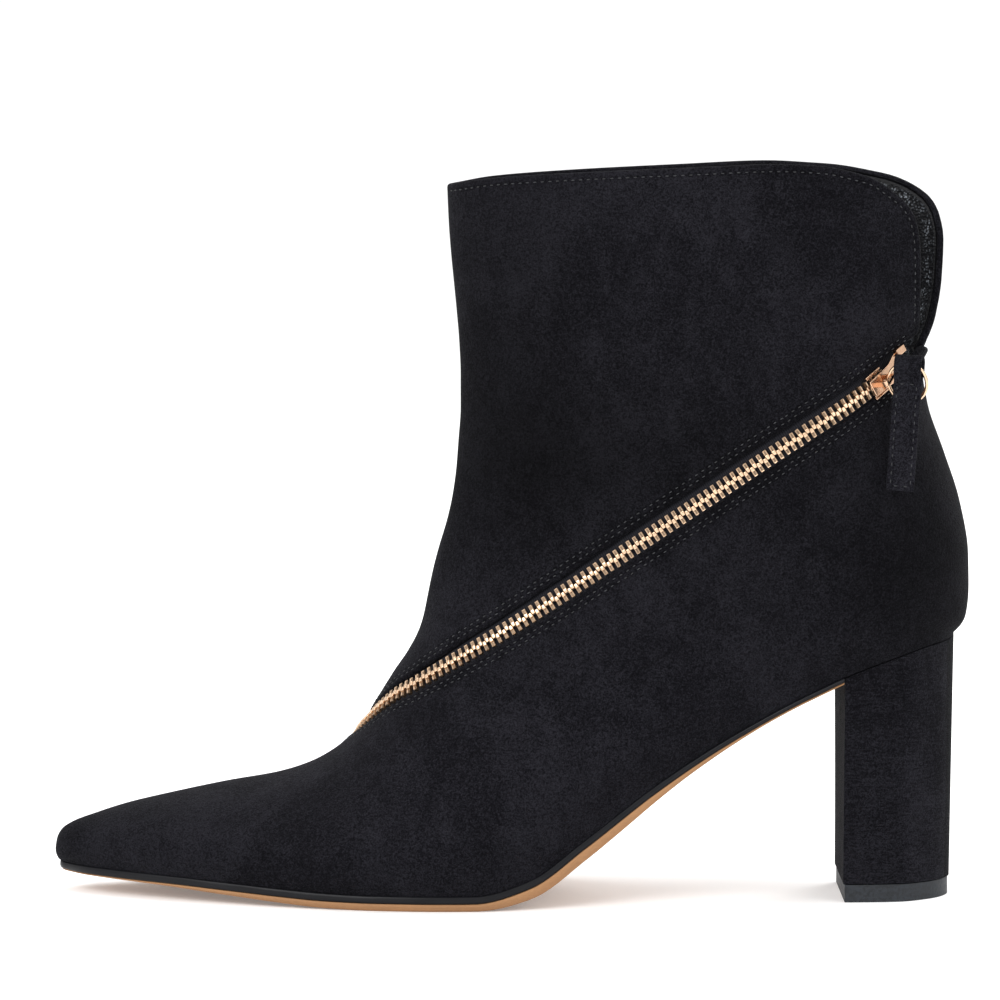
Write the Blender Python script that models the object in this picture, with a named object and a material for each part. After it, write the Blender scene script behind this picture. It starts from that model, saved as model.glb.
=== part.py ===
"""Left ankle bootie with a pointed toe, a diagonal zip and a covered block heel.

X runs from the toe (minus) to the heel (plus), Y from the lateral side (minus) to the medial
side (plus) and Z up from the floor. The origin is the middle of the footprint, in metres.
"""

import math
from bisect import bisect_right
from collections import namedtuple

import bmesh
import bpy
from mathutils import Vector

MM = 0.001
PER_CENT = 0.01
QUARTER_TURN = 0.5 * math.pi

# Driving sizes of the shoe
LENGTH = 261 * MM
BALL_WIDTH = 86 * MM
HEEL_HEIGHT = 75 * MM
SHAFT_HEIGHT = 209 * MM
WALL = 2 * MM
FIT_GAP = 0.3 * MM

# Sections of the foot, from the nose of the toe to the back of the heel seat. Each one stands on
# the feather line at bottom_x and leans, so that its top is on the ridge of the vamp or ankle.
# bottom_x and lean are per cents of LENGTH, bottom_z of HEEL_HEIGHT, top_z of SHAFT_HEIGHT,
# lateral, medial and ridge_y of half the BALL_WIDTH and belly_at of the section's height.
# A peak of 2 is a round top, and a lower one is more like a roof.
FootRow = namedtuple("FootRow", "bottom_x bottom_z lean top_z lateral medial belly_at peak ridge_y")
FOOT_ROWS = (
    FootRow(0.0, 15.9, 0.0, 5.7, 0.0, 0.0, 45, 2.0, 16),
    FootRow(0.2, 12.6, 0.0, 7.1, 7.5, 7.5, 45, 2.0, 16),
    FootRow(0.7, 10.9, 0.0, 8.25, 13.5, 13.5, 45, 2.0, 16),
    FootRow(2.0, 10.6, 0.0, 9.35, 22.0, 22.0, 42, 2.0, 15),
    FootRow(4.5, 10.4, 0.0, 10.5, 32.0, 31.0, 40, 1.9, 15),
    FootRow(8.0, 10.0, 0.0, 11.9, 44.0, 42.0, 38, 1.8, 14),
    FootRow(13.0, 9.5, 0.0, 13.4, 58.0, 55.0, 36, 1.7, 12),
    FootRow(19.0, 8.4, 0.0, 15.0, 71.5, 69.0, 34, 1.6, 10),
    FootRow(25.0, 7.1, -0.3, 16.3, 82.5, 82.0, 32, 1.5, 8),
    FootRow(30.0, 6.1, -1.8, 17.75, 91.0, 91.0, 30, 1.5, 7),
    FootRow(35.0, 5.7, -3.6, 20.2, 97.0, 97.0, 29, 1.5, 6),
    FootRow(40.0, 5.7, -6.2, 23.4, 101.0, 99.0, 28, 1.5, 6),
    FootRow(46.0, 5.7, -10.4, 27.0, 101.5, 96.5, 28, 1.5, 6),
    FootRow(52.0, 11.0, -14.7, 30.5, 98.0, 91.5, 28, 1.5, 5),
    FootRow(58.0, 25.6, -19.3, 33.2, 92.5, 87.0, 28, 1.55, 4),
    FootRow(66.0, 46.4, -26.0, 36.6, 86.5, 83.0, 28, 1.6, 3),
    FootRow(74.0, 64.2, -33.0, 41.1, 82.5, 80.5, 28, 1.6, 2),
    FootRow(82.0, 79.3, -40.2, 45.0, 79.5, 79.0, 26.5, 1.65, 1),
    FootRow(89.0, 90.2, -46.6, 48.0, 78.6, 78.4, 26.5, 1.7, 0),
    FootRow(95.0, 97.0, -52.1, 50.4, 77.9, 77.8, 27.7, 1.7, 0),
    FootRow(98.4, 100.0, -55.1, 52.6, 77.4, 77.4, 29.2, 1.7, 0),
)

# Sections of the heel counter and the shaft, from above the heel seat to over the collar. Each one
# runs from the back line to the front line. The z columns are per cents of SHAFT_HEIGHT.
ShaftRow = namedtuple("ShaftRow", "bottom_x bottom_z top_x top_z belly belly_at peak")
SHAFT_ROWS = (
    ShaftRow(99.7, 38.2, 43.75, 55.5, 77.2, 28.7, 1.7),
    ShaftRow(100.0, 42.0, 44.1, 58.5, 77.0, 28.5, 1.7),
    ShaftRow(99.9, 47.0, 44.35, 62.0, 76.9, 29.1, 1.7),
    ShaftRow(98.9, 54.0, 44.6, 66.5, 76.6, 30.3, 1.75),
    ShaftRow(97.2, 60.5, 44.6, 71.0, 76.2, 31.3, 1.8),
    ShaftRow(95.4, 67.0, 44.45, 75.5, 75.6, 33, 1.8),
    ShaftRow(94.8, 72.0, 44.2, 79.3, 75.0, 34, 1.8),
    ShaftRow(96.9, 77.0, 43.9, 83.2, 74.0, 35, 1.8),
    ShaftRow(98.6, 82.0, 43.6, 87.0, 73.0, 36, 1.8),
    ShaftRow(99.2, 88.0, 43.35, 91.0, 72.5, 37, 1.8),
    ShaftRow(99.4, 95.0, 43.2, 95.0, 72.0, 37, 1.8),
    ShaftRow(99.5, 102.0, 43.1, 98.6, 72.0, 37, 1.8),
)

# Feather line in plan: along is a per cent of LENGTH, the other columns of half the BALL_WIDTH.
OutlineRow = namedtuple("OutlineRow", "along lateral medial centre")
OUTLINE_ROWS = (
    OutlineRow(0.7, 0.0, 0.0, 16),
    OutlineRow(1.6, 9.8, 9.8, 15.8),
    OutlineRow(4.0, 24.4, 24.0, 15),
    OutlineRow(8.0, 37.7, 36.5, 13),
    OutlineRow(13.0, 51.0, 49.0, 10.5),
    OutlineRow(19.0, 64.5, 62.0, 8),
    OutlineRow(25.0, 75.0, 73.5, 5),
    OutlineRow(30.0, 82.0, 81.5, 3),
    OutlineRow(37.0, 88.5, 88.0, 0.8),
    OutlineRow(42.0, 90.7, 88.5, 0),
    OutlineRow(47.0, 89.5, 85.0, 0),
    OutlineRow(54.0, 81.5, 73.5, 0),
    OutlineRow(62.0, 71.0, 60.5, 0),
    OutlineRow(70.0, 64.0, 55.0, 0),
    OutlineRow(78.0, 61.6, 55.0, 0),
    OutlineRow(86.0, 61.6, 59.5, 0),
    OutlineRow(92.0, 58.0, 57.0, 0),
    OutlineRow(96.0, 39.5, 39.5, 0),
    OutlineRow(98.4, 0.0, 0.0, 0),
)

# Thickness of the sole's two layers in millimetres: the outsole is thickest behind the ball and
# thin at the toe and in the arch. Along is a per cent of LENGTH.
SoleRow = namedtuple("SoleRow", "along edge outsole")
SOLE_ROWS = (
    SoleRow(0.7, 1.6, 0.4),
    SoleRow(8.0, 1.7, 0.5),
    SoleRow(19.0, 1.8, 1.2),
    SoleRow(28.0, 1.8, 1.8),
    SoleRow(35.0, 1.7, 1.975),
    SoleRow(46.0, 1.7, 1.975),
    SoleRow(51.0, 1.8, 2.8),
    SoleRow(56.0, 1.9, 3.4),
    SoleRow(62.0, 1.8, 3.0),
    SoleRow(70.0, 1.4, 1.4),
    SoleRow(78.0, 1.0, 0.6),
    SoleRow(86.5, 0.8, 0.5),
)

# Rim of the collar and of the back notch in side view, per cents of LENGTH and SHAFT_HEIGHT
RimRow = namedtuple("RimRow", "x z")
COLLAR_ROWS = (
    RimRow(38.0, 96.2),
    RimRow(43.1, 96.8),
    RimRow(47.8, 97.7),
    RimRow(55.5, 98.4),
    RimRow(68.6, 99.2),
    RimRow(78.5, 99.7),
    RimRow(83.5, 99.4),
)
LATERAL_NOTCH_ROWS = (
    RimRow(86.3, 98.7),
    RimRow(88.8, 97.8),
    RimRow(90.9, 96.1),
    RimRow(92.6, 94.3),
    RimRow(93.6, 92.2),
    RimRow(94.1, 88.8),
    RimRow(94.2, 85.1),
    RimRow(94.2, 78.5),
    RimRow(94.1, 75.4),
)
MEDIAL_NOTCH_ROWS = (
    RimRow(85.8, 99.2),
    RimRow(90.1, 98.3),
    RimRow(92.2, 97.7),
    RimRow(94.3, 96.6),
    RimRow(96.4, 94.5),
    RimRow(97.3, 91.9),
    RimRow(97.6, 89.1),
    RimRow(97.4, 83.7),
    RimRow(96.6, 78.3),
    RimRow(95.2, 74.2),
)
NOTCH_FLOOR = RimRow(97.5, 73.0)

# Middle of the zip in side view; side is -1 on the lateral wall, 0 on the ridge, 1 past it
ZipRow = namedtuple("ZipRow", "x z side")
ZIP_ROWS = (
    ZipRow(93.6, 74.7, -1),
    ZipRow(88.9, 70.0, -1),
    ZipRow(79.5, 62.3, -1),
    ZipRow(66.2, 51.05, -1),
    ZipRow(50.4, 37.9, -1),
    ZipRow(38.9, 29.1, -1),
    ZipRow(33.7, 23.4, 0),
    ZipRow(33.1, 21.4, 1),
)

# Mesh density of the upper
LOWER_STEPS = 5
UPPER_STEPS = 8
NOSE_STEPS = 3
FOOT_STEPS = 26
SHAFT_STEPS = 12
LOWER_SHARE = LOWER_STEPS / (LOWER_STEPS + UPPER_STEPS)
LOWEST_BELLY = 0.15
HIGHEST_BELLY = 0.5
SHARP_ANGLE = math.radians(40)

# Numerical steps of the form
NUDGE = 0.0005
STATION_ERROR = 1e-7
ROUTE_NUDGE = 0.5 * MM

# Cutters of the rim: how far they reach past the shoe
CUTTER_TOP = 1.2 * SHAFT_HEIGHT
CUTTER_SIDE = 0.7 * BALL_WIDTH
CUTTER_BACK_X = 115
CUTTER_OVERLAP = 0.5 * MM

# Sole, heel and insole
EDGE_GROW = 0.5 * MM
OUTSOLE_BEVEL = 1.0 * MM
INSOLE_THICK = 2 * MM
INSOLE_TOP_INSET = 3.2 * MM
INSOLE_BOTTOM_INSET = 2.4 * MM
BREAST_X = 94 * MM
HEEL_STEPS = 9
HEEL_LEVELS = 5
HEEL_BOTTOM_WIDTH = 0.79
HEEL_BOTTOM_LENGTH = 0.97
LIFT_THICK = 5 * MM
LIFT_INSET = 0.4 * MM

# Zip
TOOTH_PITCH = 2.2 * MM
TOOTH_SLOPE = 0.15 * MM
CHAIN_HALF = 2.9 * MM
SPINE_HALF = 0.8 * MM
CHAIN_TOP = 0.3 * MM
CHAIN_BOTTOM = -2.2 * MM
SLOT_BELOW = 3.25 * MM
SLOT_ABOVE = 4.4 * MM
SLOT_DEEP = 4.5 * MM
SLOT_OUT = 2.5 * MM
SLOT_RUN_OUT = 9 * MM
SLOT_STEPS = 44
TAPE_TOP = WALL + 1.1 * MM
TAPE_THICK = 0.7 * MM
TAPE_HALF = 8 * MM
TAPE_INNER = 0.2 * MM
TAPE_PARTED = 1.5 * MM
ZIP_END_MARGIN = 3 * MM
TAPE_END_MARGIN = 6 * MM

# Slider, in its own frame: along the zip, across it and out of the shaft. A plate's rows go from
# its tail to the notch at its head, along in per cent of SLIDER_HALF and half_width in millimetres.
SLIDER_FROM_END = 13.5 * MM
SLIDER_HALF = 8 * MM
PlateRow = namedtuple("PlateRow", "along half_width")
PLATE_ROWS = (
    PlateRow(-100, 2.5),
    PlateRow(-90, 3.2),
    PlateRow(0, 3.3),
    PlateRow(50, 3.6),
    PlateRow(88, 3.7),
    PlateRow(100, 2.9),
    PlateRow(74, 0.0),
)
PLATE_BOTTOM = 0.9 * MM
PLATE_TOP = 1.9 * MM
INNER_PLATE_TOP = -4.9 * MM
INNER_PLATE_BOTTOM = -5.8 * MM
FLANGE_FROM = -0.75 * SLIDER_HALF
FLANGE_TO = -0.1 * SLIDER_HALF
FLANGE_INNER = 2.95 * MM
FLANGE_OUTER = 3.65 * MM
FLANGE_BOTTOM = 0.35 * MM
POST_FROM = 3 * MM
POST_TO = 4.8 * MM
POST_HALF = 0.9 * MM
BAIL_FROM = -5.0 * MM
BAIL_TO = -0.3 * MM
BAIL_BAR = 0.7 * MM
BAIL_TOP = 4.85 * MM
BAIL_HALF = 0.8 * MM
UNION_BITE = 0.2 * MM
HINGE_ALONG = -2.1 * MM
HINGE_OUT = 3.1 * MM

# Pull ring and tab
RING_RADIUS = 5.6 * MM
WIRE_RADIUS = 0.5 * MM
RING_DROOP = math.radians(8)
RING_TILT = math.radians(15)
RING_SWING = math.radians(20)
RING_STEPS = 24
WIRE_STEPS = 8
TAB_LENGTH = 38 * MM
TAB_HALF_WIDTH = 3.9 * MM
TAB_ASIDE = 0.1 * MM
TAB_HALF_THICK = 1.1 * MM
TAB_LAYER = 1.0 * MM
TUNNEL_HALF = 1.5 * MM
TUNNEL_SIDE_END = 5.7 * MM
TUNNEL_END = 7.5 * MM
FOLD_END = 7.9 * MM
FOLD_STEPS = 6
TAB_ROWS = (12 * MM, 18 * MM, 25 * MM, 32 * MM, TAB_LENGTH)
WIRE_BELOW_FOLD = 2.5 * MM
WIRE_AHEAD = 0.3 * MM
TAB_LEAN_OUT = math.radians(6)
TAB_LEAN_FORWARD = math.radians(4.5)
TAB_TWIST = math.radians(18)

SUEDE = ((0.012, 0.012, 0.014), 0.95, 0.0)
BLACK_GLOSS = ((0.010, 0.010, 0.011), 0.30, 0.0)
TAN_RUBBER = ((0.55, 0.30, 0.13), 0.60, 0.0)
GREY_RUBBER = ((0.045, 0.050, 0.058), 0.70, 0.0)
BLACK_BOARD = ((0.015, 0.015, 0.016), 0.60, 0.0)
BLACK_TAPE = ((0.020, 0.020, 0.022), 0.85, 0.0)
PALE_GOLD = ((0.83, 0.62, 0.36), 0.25, 1.0)


class Curve:
    """A smooth curve through the rows of a table that never overshoots them."""

    def __init__(self, places, values):
        self.places = list(places)
        self.values = list(values)
        self.slopes = self.row_slopes()

    def row_slopes(self):
        steps = [b - a for a, b in zip(self.places, self.places[1:])]
        rises = [(b - a) / h for a, b, h in zip(self.values, self.values[1:], steps)]
        slopes = [rises[0]]
        for before, after, left, right in zip(rises, rises[1:], steps, steps[1:]):
            if before * after <= 0:
                slopes.append(0.0)
                continue
            weight_before = 2 * right + left
            weight_after = right + 2 * left
            total = weight_before + weight_after
            slopes.append(total / (weight_before / before + weight_after / after))
        slopes.append(rises[-1])
        return slopes

    def __call__(self, place):
        last = len(self.places) - 2
        row = min(max(bisect_right(self.places, place) - 1, 0), last)
        step = self.places[row + 1] - self.places[row]
        t = min(max((place - self.places[row]) / step, 0.0), 1.0)
        start = (1 + 2 * t) * (1 - t) ** 2 * self.values[row]
        leave = t * (1 - t) ** 2 * step * self.slopes[row]
        end = t * t * (3 - 2 * t) * self.values[row + 1]
        arrive = t * t * (t - 1) * step * self.slopes[row + 1]
        return start + leave + end + arrive


def x_at(per_cent):
    return (per_cent * PER_CENT - 0.5) * LENGTH


def half_ball(per_cent):
    return per_cent * PER_CENT * 0.5 * BALL_WIDTH


class UpperForm:
    """The outside of the upper: station 0 to 1 is toe to heel, 1 to 2 heel to collar.

    Around runs from -1 at the lateral feather or back line, over 0 at the ridge, to 1 on the
    medial side.
    """

    def __init__(self):
        self.nose_x = x_at(FOOT_ROWS[0].bottom_x)
        self.heel_x = x_at(FOOT_ROWS[-1].bottom_x)
        self.feather_x = x_at(OUTLINE_ROWS[0].along)
        foot = [self.station_of(x_at(row.bottom_x)) for row in FOOT_ROWS]
        shaft = [1 + (i + 1) / len(SHAFT_ROWS) for i in range(len(SHAFT_ROWS))]
        stations = foot + shaft
        seat_z = HEEL_HEIGHT * PER_CENT
        shaft_z = SHAFT_HEIGHT * PER_CENT
        tops = [row.bottom_x + row.lean for row in FOOT_ROWS] + [row.top_x for row in SHAFT_ROWS]
        self.back_x = Curve(stations[len(foot) - 1:],
                            [self.heel_x] + [x_at(row.bottom_x) for row in SHAFT_ROWS])
        self.bottom_z = Curve(stations, [row.bottom_z * seat_z for row in FOOT_ROWS]
                              + [row.bottom_z * shaft_z for row in SHAFT_ROWS])
        self.top_x = Curve(stations, [x_at(top) for top in tops])
        self.top_z = Curve(stations, [row.top_z * shaft_z for row in FOOT_ROWS + SHAFT_ROWS])
        self.lateral = Curve(stations, [half_ball(row.lateral) for row in FOOT_ROWS]
                             + [half_ball(row.belly) for row in SHAFT_ROWS])
        self.medial = Curve(stations, [half_ball(row.medial) for row in FOOT_ROWS]
                            + [half_ball(row.belly) for row in SHAFT_ROWS])
        crowns = []
        for row, station in zip(FOOT_ROWS + SHAFT_ROWS, stations):
            bottom, top = self.side_line(station)
            crowns.append((1 - row.belly_at * PER_CENT) * (top - bottom).length)
        self.crown = Curve(stations, crowns)
        self.peak = Curve(stations, [row.peak for row in FOOT_ROWS + SHAFT_ROWS])
        self.ridge_y = Curve(stations, [half_ball(row.ridge_y) for row in FOOT_ROWS]
                             + [0.0 for row in SHAFT_ROWS])
        places = [x_at(row.along) for row in OUTLINE_ROWS]
        self.lateral_square = Curve(places, [half_ball(row.lateral) ** 2 for row in OUTLINE_ROWS])
        self.medial_square = Curve(places, [half_ball(row.medial) ** 2 for row in OUTLINE_ROWS])
        self.centre = Curve(places, [half_ball(row.centre) for row in OUTLINE_ROWS])

    def station_of(self, x):
        share = min(max((x - self.nose_x) / (self.heel_x - self.nose_x), 0.0), 1.0)
        return math.acos(1 - 2 * share) / math.pi

    def bottom_x(self, station):
        if station > 1:
            return self.back_x(station)
        share = 0.5 * (1 - math.cos(math.pi * station))
        return self.nose_x + share * (self.heel_x - self.nose_x)

    def foot_width(self, x, side):
        square = self.lateral_square if side < 0 else self.medial_square
        return math.sqrt(max(square(x), 0.0))

    def is_closed(self, station):
        return station >= 1 or self.bottom_x(station) <= self.feather_x

    def floor_z(self, x):
        return self.bottom_z(self.station_of(x))

    def side_line(self, station):
        bottom = Vector((self.bottom_x(station), self.bottom_z(station)))
        top = Vector((self.top_x(station), self.top_z(station)))
        return bottom, top

    def belly_level(self, station):
        """The widest place of a section as a share of its height."""
        bottom, top = self.side_line(station)
        length = max((top - bottom).length, MM)
        return min(max(1 - self.crown(station) / length, LOWEST_BELLY), HIGHEST_BELLY)

    def point(self, station, around):
        side = -1 if around < 0 else 1
        share = 1 - abs(around)
        bottom, top = self.side_line(station)
        belly = self.lateral(station) if side < 0 else self.medial(station)
        foot = 0.0 if self.is_closed(station) else self.foot_width(bottom.x, side)
        level = self.belly_level(station)
        if share < LOWER_SHARE:
            turn = QUARTER_TURN * share / LOWER_SHARE
            height = level * (1 - math.cos(turn))
            reach = math.hypot(foot * math.cos(turn), belly * math.sin(turn))
            width = reach if share >= 0 else 2 * foot - reach
        else:
            rise = math.sin(QUARTER_TURN * (share - LOWER_SHARE) / (1 - LOWER_SHARE))
            height = level + (1 - level) * rise
            width = belly * math.sqrt(max(0.0, 1 - rise ** self.peak(station)))
        middle = self.centre(bottom.x) if station < 1 else 0.0
        axis = middle + height * (self.ridge_y(station) - middle)
        place = bottom.lerp(top, height)
        return Vector((place.x, axis + side * width, place.y))

    def slopes(self, station, around):
        along = self.point(station + NUDGE, around) - self.point(station - NUDGE, around)
        girth = self.point(station, around + NUDGE) - self.point(station, around - NUDGE)
        return along / (2 * NUDGE), girth / (2 * NUDGE)

    def normal(self, station, around):
        along, girth = self.slopes(station, around)
        return along.cross(girth).normalized()

    def locate(self, x, z, side):
        """The station and around of the wall's point that side view shows at x and z."""

        def off_line(station):
            bottom, top = self.side_line(station)
            run = top - bottom
            return run.x * (z - bottom.y) - run.y * (x - bottom.x)

        low = self.station_of(self.feather_x)
        high = 2.0
        while high - low > STATION_ERROR:
            middle = 0.5 * (low + high)
            if off_line(middle) * off_line(low) > 0:
                low = middle
            else:
                high = middle
        bottom, top = self.side_line(low)
        run = top - bottom
        height = min((Vector((x, z)) - bottom).dot(run) / run.length_squared, 1.0)
        level = self.belly_level(low)
        if side == 0:
            return low, 0.0
        if height < level:
            share = LOWER_SHARE * math.acos(1 - height / level) / QUARTER_TURN
        else:
            rise = (height - level) / (1 - level)
            share = LOWER_SHARE + (1 - LOWER_SHARE) * math.asin(rise) / QUARTER_TURN
        return low, side * (1 - share)


Frame = namedtuple("Frame", "origin along across out")


class ZipRoute:
    """The middle of the zip on the upper, measured by its length from the front end."""

    SAMPLES = 400
    SIDE_SPOTS = 40

    def __init__(self, form):
        self.form = form
        beside = sorted(row for row in ZIP_ROWS if row.side < 0)
        line = Curve([row.x for row in beside], [row.z for row in beside])
        back = beside[-1].x
        run = beside[0].x - back
        rows = []
        for i in range(self.SIDE_SPOTS + 1):
            x = back + run * i / self.SIDE_SPOTS
            rows.append(ZipRow(x, line(x), -1))
        rows += [row for row in ZIP_ROWS if row.side >= 0]
        spots = [form.locate(x_at(row.x), row.z * PER_CENT * SHAFT_HEIGHT, row.side) for row in rows]
        self.station_at = Curve([around for station, around in spots],
                                [station for station, around in spots])
        first = spots[-1][1]
        last = spots[0][1]
        self.arounds = [first + (last - first) * i / self.SAMPLES for i in range(self.SAMPLES + 1)]
        points = [form.point(self.station_at(around), around) for around in self.arounds]
        self.lengths = [0.0]
        for a, b in zip(points, points[1:]):
            self.lengths.append(self.lengths[-1] + (b - a).length)
        self.length = self.lengths[-1]

    def spot(self, length):
        inside = min(max(length, 0.0), self.length)
        row = min(max(bisect_right(self.lengths, inside) - 1, 0), self.SAMPLES - 1)
        share = (inside - self.lengths[row]) / (self.lengths[row + 1] - self.lengths[row])
        around = self.arounds[row] + share * (self.arounds[row + 1] - self.arounds[row])
        return self.station_at(around), around

    def frame(self, length):
        before = self.form.point(*self.spot(max(length - ROUTE_NUDGE, 0.0)))
        after = self.form.point(*self.spot(min(length + ROUTE_NUDGE, self.length)))
        origin = self.form.point(*self.spot(length))
        out = self.form.normal(*self.spot(length))
        along = after - before
        along = (along - along.dot(out) * out).normalized()
        over = length - min(max(length, 0.0), self.length)
        return Frame(origin + over * along, along, out.cross(along), out)

    def beside(self, length, across, depth):
        """A point on the wall beside the zip's middle, sunk by depth."""
        station, around = self.spot(length)
        shift = self.frame(length).across * across
        by_station, by_around = self.form.slopes(station, around)
        station_square = by_station.length_squared
        around_square = by_around.length_squared
        mixed = by_station.dot(by_around)
        station_part = by_station.dot(shift)
        around_part = by_around.dot(shift)
        spread = station_square * around_square - mixed * mixed
        station += (around_square * station_part - mixed * around_part) / spread
        around += (station_square * around_part - mixed * station_part) / spread
        return self.form.point(station, around) - depth * self.form.normal(station, around)


def make_material(name, look):
    colour, roughness, metallic = look
    material = bpy.data.materials.new(name)
    material.use_nodes = True
    shader = material.node_tree.nodes["Principled BSDF"]
    shader.inputs["Base Color"].default_value = (*colour, 1)
    shader.inputs["Roughness"].default_value = roughness
    shader.inputs["Metallic"].default_value = metallic
    return material


def add_object(name, points, faces, material=None, origin=Vector()):
    """A mesh object whose faces point out; faces may name a point twice where a row closes."""
    mesh = bpy.data.meshes.new(name)
    shape = bmesh.new()
    vertices = [shape.verts.new(Vector(point) - origin) for point in points]
    for face in faces:
        corners = [i for i, before in zip(face, face[-1:] + face[:-1]) if i != before]
        if len(corners) > 2:
            shape.faces.new([vertices[i] for i in corners])
    bmesh.ops.recalc_face_normals(shape, faces=shape.faces)
    shape.to_mesh(mesh)
    shape.free()
    mesh.shade_smooth()
    mesh.set_sharp_from_angle(angle=SHARP_ANGLE)
    thing = bpy.data.objects.new(name, mesh)
    thing.location = origin
    bpy.context.scene.collection.objects.link(thing)
    if material:
        mesh.materials.append(material)
    return thing


def as_tool(thing):
    thing.hide_render = True
    thing.display_type = "WIRE"
    return thing


def boolean(thing, tool, operation):
    modifier = thing.modifiers.new(tool.name, "BOOLEAN")
    modifier.operation = operation
    modifier.solver = "EXACT"
    modifier.object = as_tool(tool)


def tube_faces(rings, sides):
    """Faces of a closed tube of rings with flat ends."""
    faces = []
    for ring in range(rings - 1):
        for side in range(sides):
            following = (side + 1) % sides
            here = ring * sides
            faces.append([here + side, here + following, here + sides + following, here + sides + side])
    faces.append(list(range(sides)))
    faces.append([(rings - 1) * sides + side for side in range(sides)])
    return faces


def prism(name, frame, outline, plane, low, high, material=None):
    """An outline in two of the frame's directions, raised along the third."""
    directions = {"along": frame.along, "across": frame.across, "out": frame.out}
    raised = next(key for key in directions if key not in plane)
    points = []
    for level in (low, high):
        for first, second in outline:
            flat = first * directions[plane[0]] + second * directions[plane[1]]
            points.append(frame.origin + flat + level * directions[raised])
    return add_object(name, points, tube_faces(2, len(outline)), material)


# Upper

def foot_stations(form):
    start = form.station_of(form.feather_x)
    return [start + (1 - start) * i / FOOT_STEPS for i in range(FOOT_STEPS)]


def upper_stations(form):
    foot = foot_stations(form)
    nose = [foot[0] * i / NOSE_STEPS for i in range(NOSE_STEPS)]
    shaft = [1 + i / SHAFT_STEPS for i in range(SHAFT_STEPS + 1)]
    return nose + foot + shaft


def upper_sheet(form):
    half = LOWER_STEPS + UPPER_STEPS
    points = []
    rows = []
    for number, station in enumerate(upper_stations(form)):
        start = len(points)
        if number == 0:
            points.append(form.point(station, 0.0))
            rows.append([start] * (2 * half + 1))
            continue
        closed = form.is_closed(station)
        count = 2 * half if closed else 2 * half + 1
        points += [form.point(station, (i - half) / half) for i in range(count)]
        row = [start + i for i in range(count)]
        rows.append(row + [start] if closed else row)
    faces = []
    for row, following in zip(rows, rows[1:]):
        for i in range(2 * half):
            faces.append([row[i], row[i + 1], following[i + 1], following[i]])
    return points, faces


def rim_cutter(name, rows, near, far):
    """Everything above the collar and behind the notch, over one side of the shoe."""
    front = x_at(COLLAR_ROWS[0].x)
    back = x_at(CUTTER_BACK_X)
    outline = [Vector((x_at(row.x), row.z * PER_CENT * SHAFT_HEIGHT)) for row in COLLAR_ROWS + rows]
    floor_z = NOTCH_FLOOR.z * PER_CENT * SHAFT_HEIGHT
    outline += [Vector((x_at(NOTCH_FLOOR.x), floor_z)), Vector((back, floor_z))]
    outline += [Vector((back, CUTTER_TOP)), Vector((front, CUTTER_TOP))]
    points = [(spot.x, y, spot.y) for y in (near, far) for spot in outline]
    return add_object(name, points, tube_faces(2, len(outline)))


def slot_cutter(route):
    points = []
    last = route.length + SLOT_RUN_OUT
    first = ZIP_END_MARGIN
    for i in range(SLOT_STEPS + 1):
        frame = route.frame(first + (last - first) * i / SLOT_STEPS)
        for across, out in ((-SLOT_BELOW, SLOT_OUT), (SLOT_ABOVE, SLOT_OUT),
                            (SLOT_ABOVE, -SLOT_DEEP), (-SLOT_BELOW, -SLOT_DEEP)):
            points.append(frame.origin + across * frame.across + out * frame.out)
    return add_object("cut_zip_slot", points, tube_faces(SLOT_STEPS + 1, 4))


def build_upper(form, route):
    points, faces = upper_sheet(form)
    upper = add_object("upper", points, faces, make_material("suede", SUEDE))
    wall = upper.modifiers.new("wall", "SOLIDIFY")
    wall.thickness = WALL
    wall.offset = -1
    lateral = rim_cutter("cut_lateral_rim", LATERAL_NOTCH_ROWS, -CUTTER_SIDE, CUTTER_OVERLAP)
    medial = rim_cutter("cut_medial_rim", MEDIAL_NOTCH_ROWS, -CUTTER_OVERLAP, CUTTER_SIDE)
    for cutter in (lateral, medial, slot_cutter(route)):
        boolean(upper, cutter, "DIFFERENCE")


# Sole, insole and heel

def plan_side(form, places, side, grow):
    """The feather line on one side, moved out along its own normal."""
    line = [Vector((x, form.centre(x) + side * form.foot_width(x, side))) for x in places]
    moved = []
    for i, spot in enumerate(line):
        run = line[min(i + 1, len(line) - 1)] - line[max(i - 1, 0)]
        normal = Vector((-run.y, run.x)).normalized() * side
        if form.foot_width(spot.x, side) == 0:
            normal = Vector((math.copysign(1.0, spot.x), 0.0))
        moved.append(spot + grow * normal)
    return moved


def plan_places(form):
    """Places along the foot where the upper has its sections too."""
    inside = [form.bottom_x(station) for station in foot_stations(form)[1:]]
    return [form.feather_x] + inside + [form.heel_x]


def stack_faces(levels, pairs, tip_first, tip_last):
    """Faces of a body made of plan loops, each of pairs of a lateral and a medial point."""

    def index(level, pair, side):
        tip = (tip_first and pair == 0) or (tip_last and pair == pairs - 1)
        return (level * pairs + pair) * 2 + (0 if tip else side)

    faces = []
    for pair in range(pairs - 1):
        for level in (0, levels - 1):
            faces.append([index(level, pair, 0), index(level, pair, 1),
                          index(level, pair + 1, 1), index(level, pair + 1, 0)])
        for level in range(levels - 1):
            for side in (0, 1):
                faces.append([index(level, pair, side), index(level, pair + 1, side),
                              index(level + 1, pair + 1, side), index(level + 1, pair, side)])
    for level in range(levels - 1):
        for pair in (0, pairs - 1):
            faces.append([index(level, pair, 0), index(level, pair, 1),
                          index(level + 1, pair, 1), index(level + 1, pair, 0)])
    return faces


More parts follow.
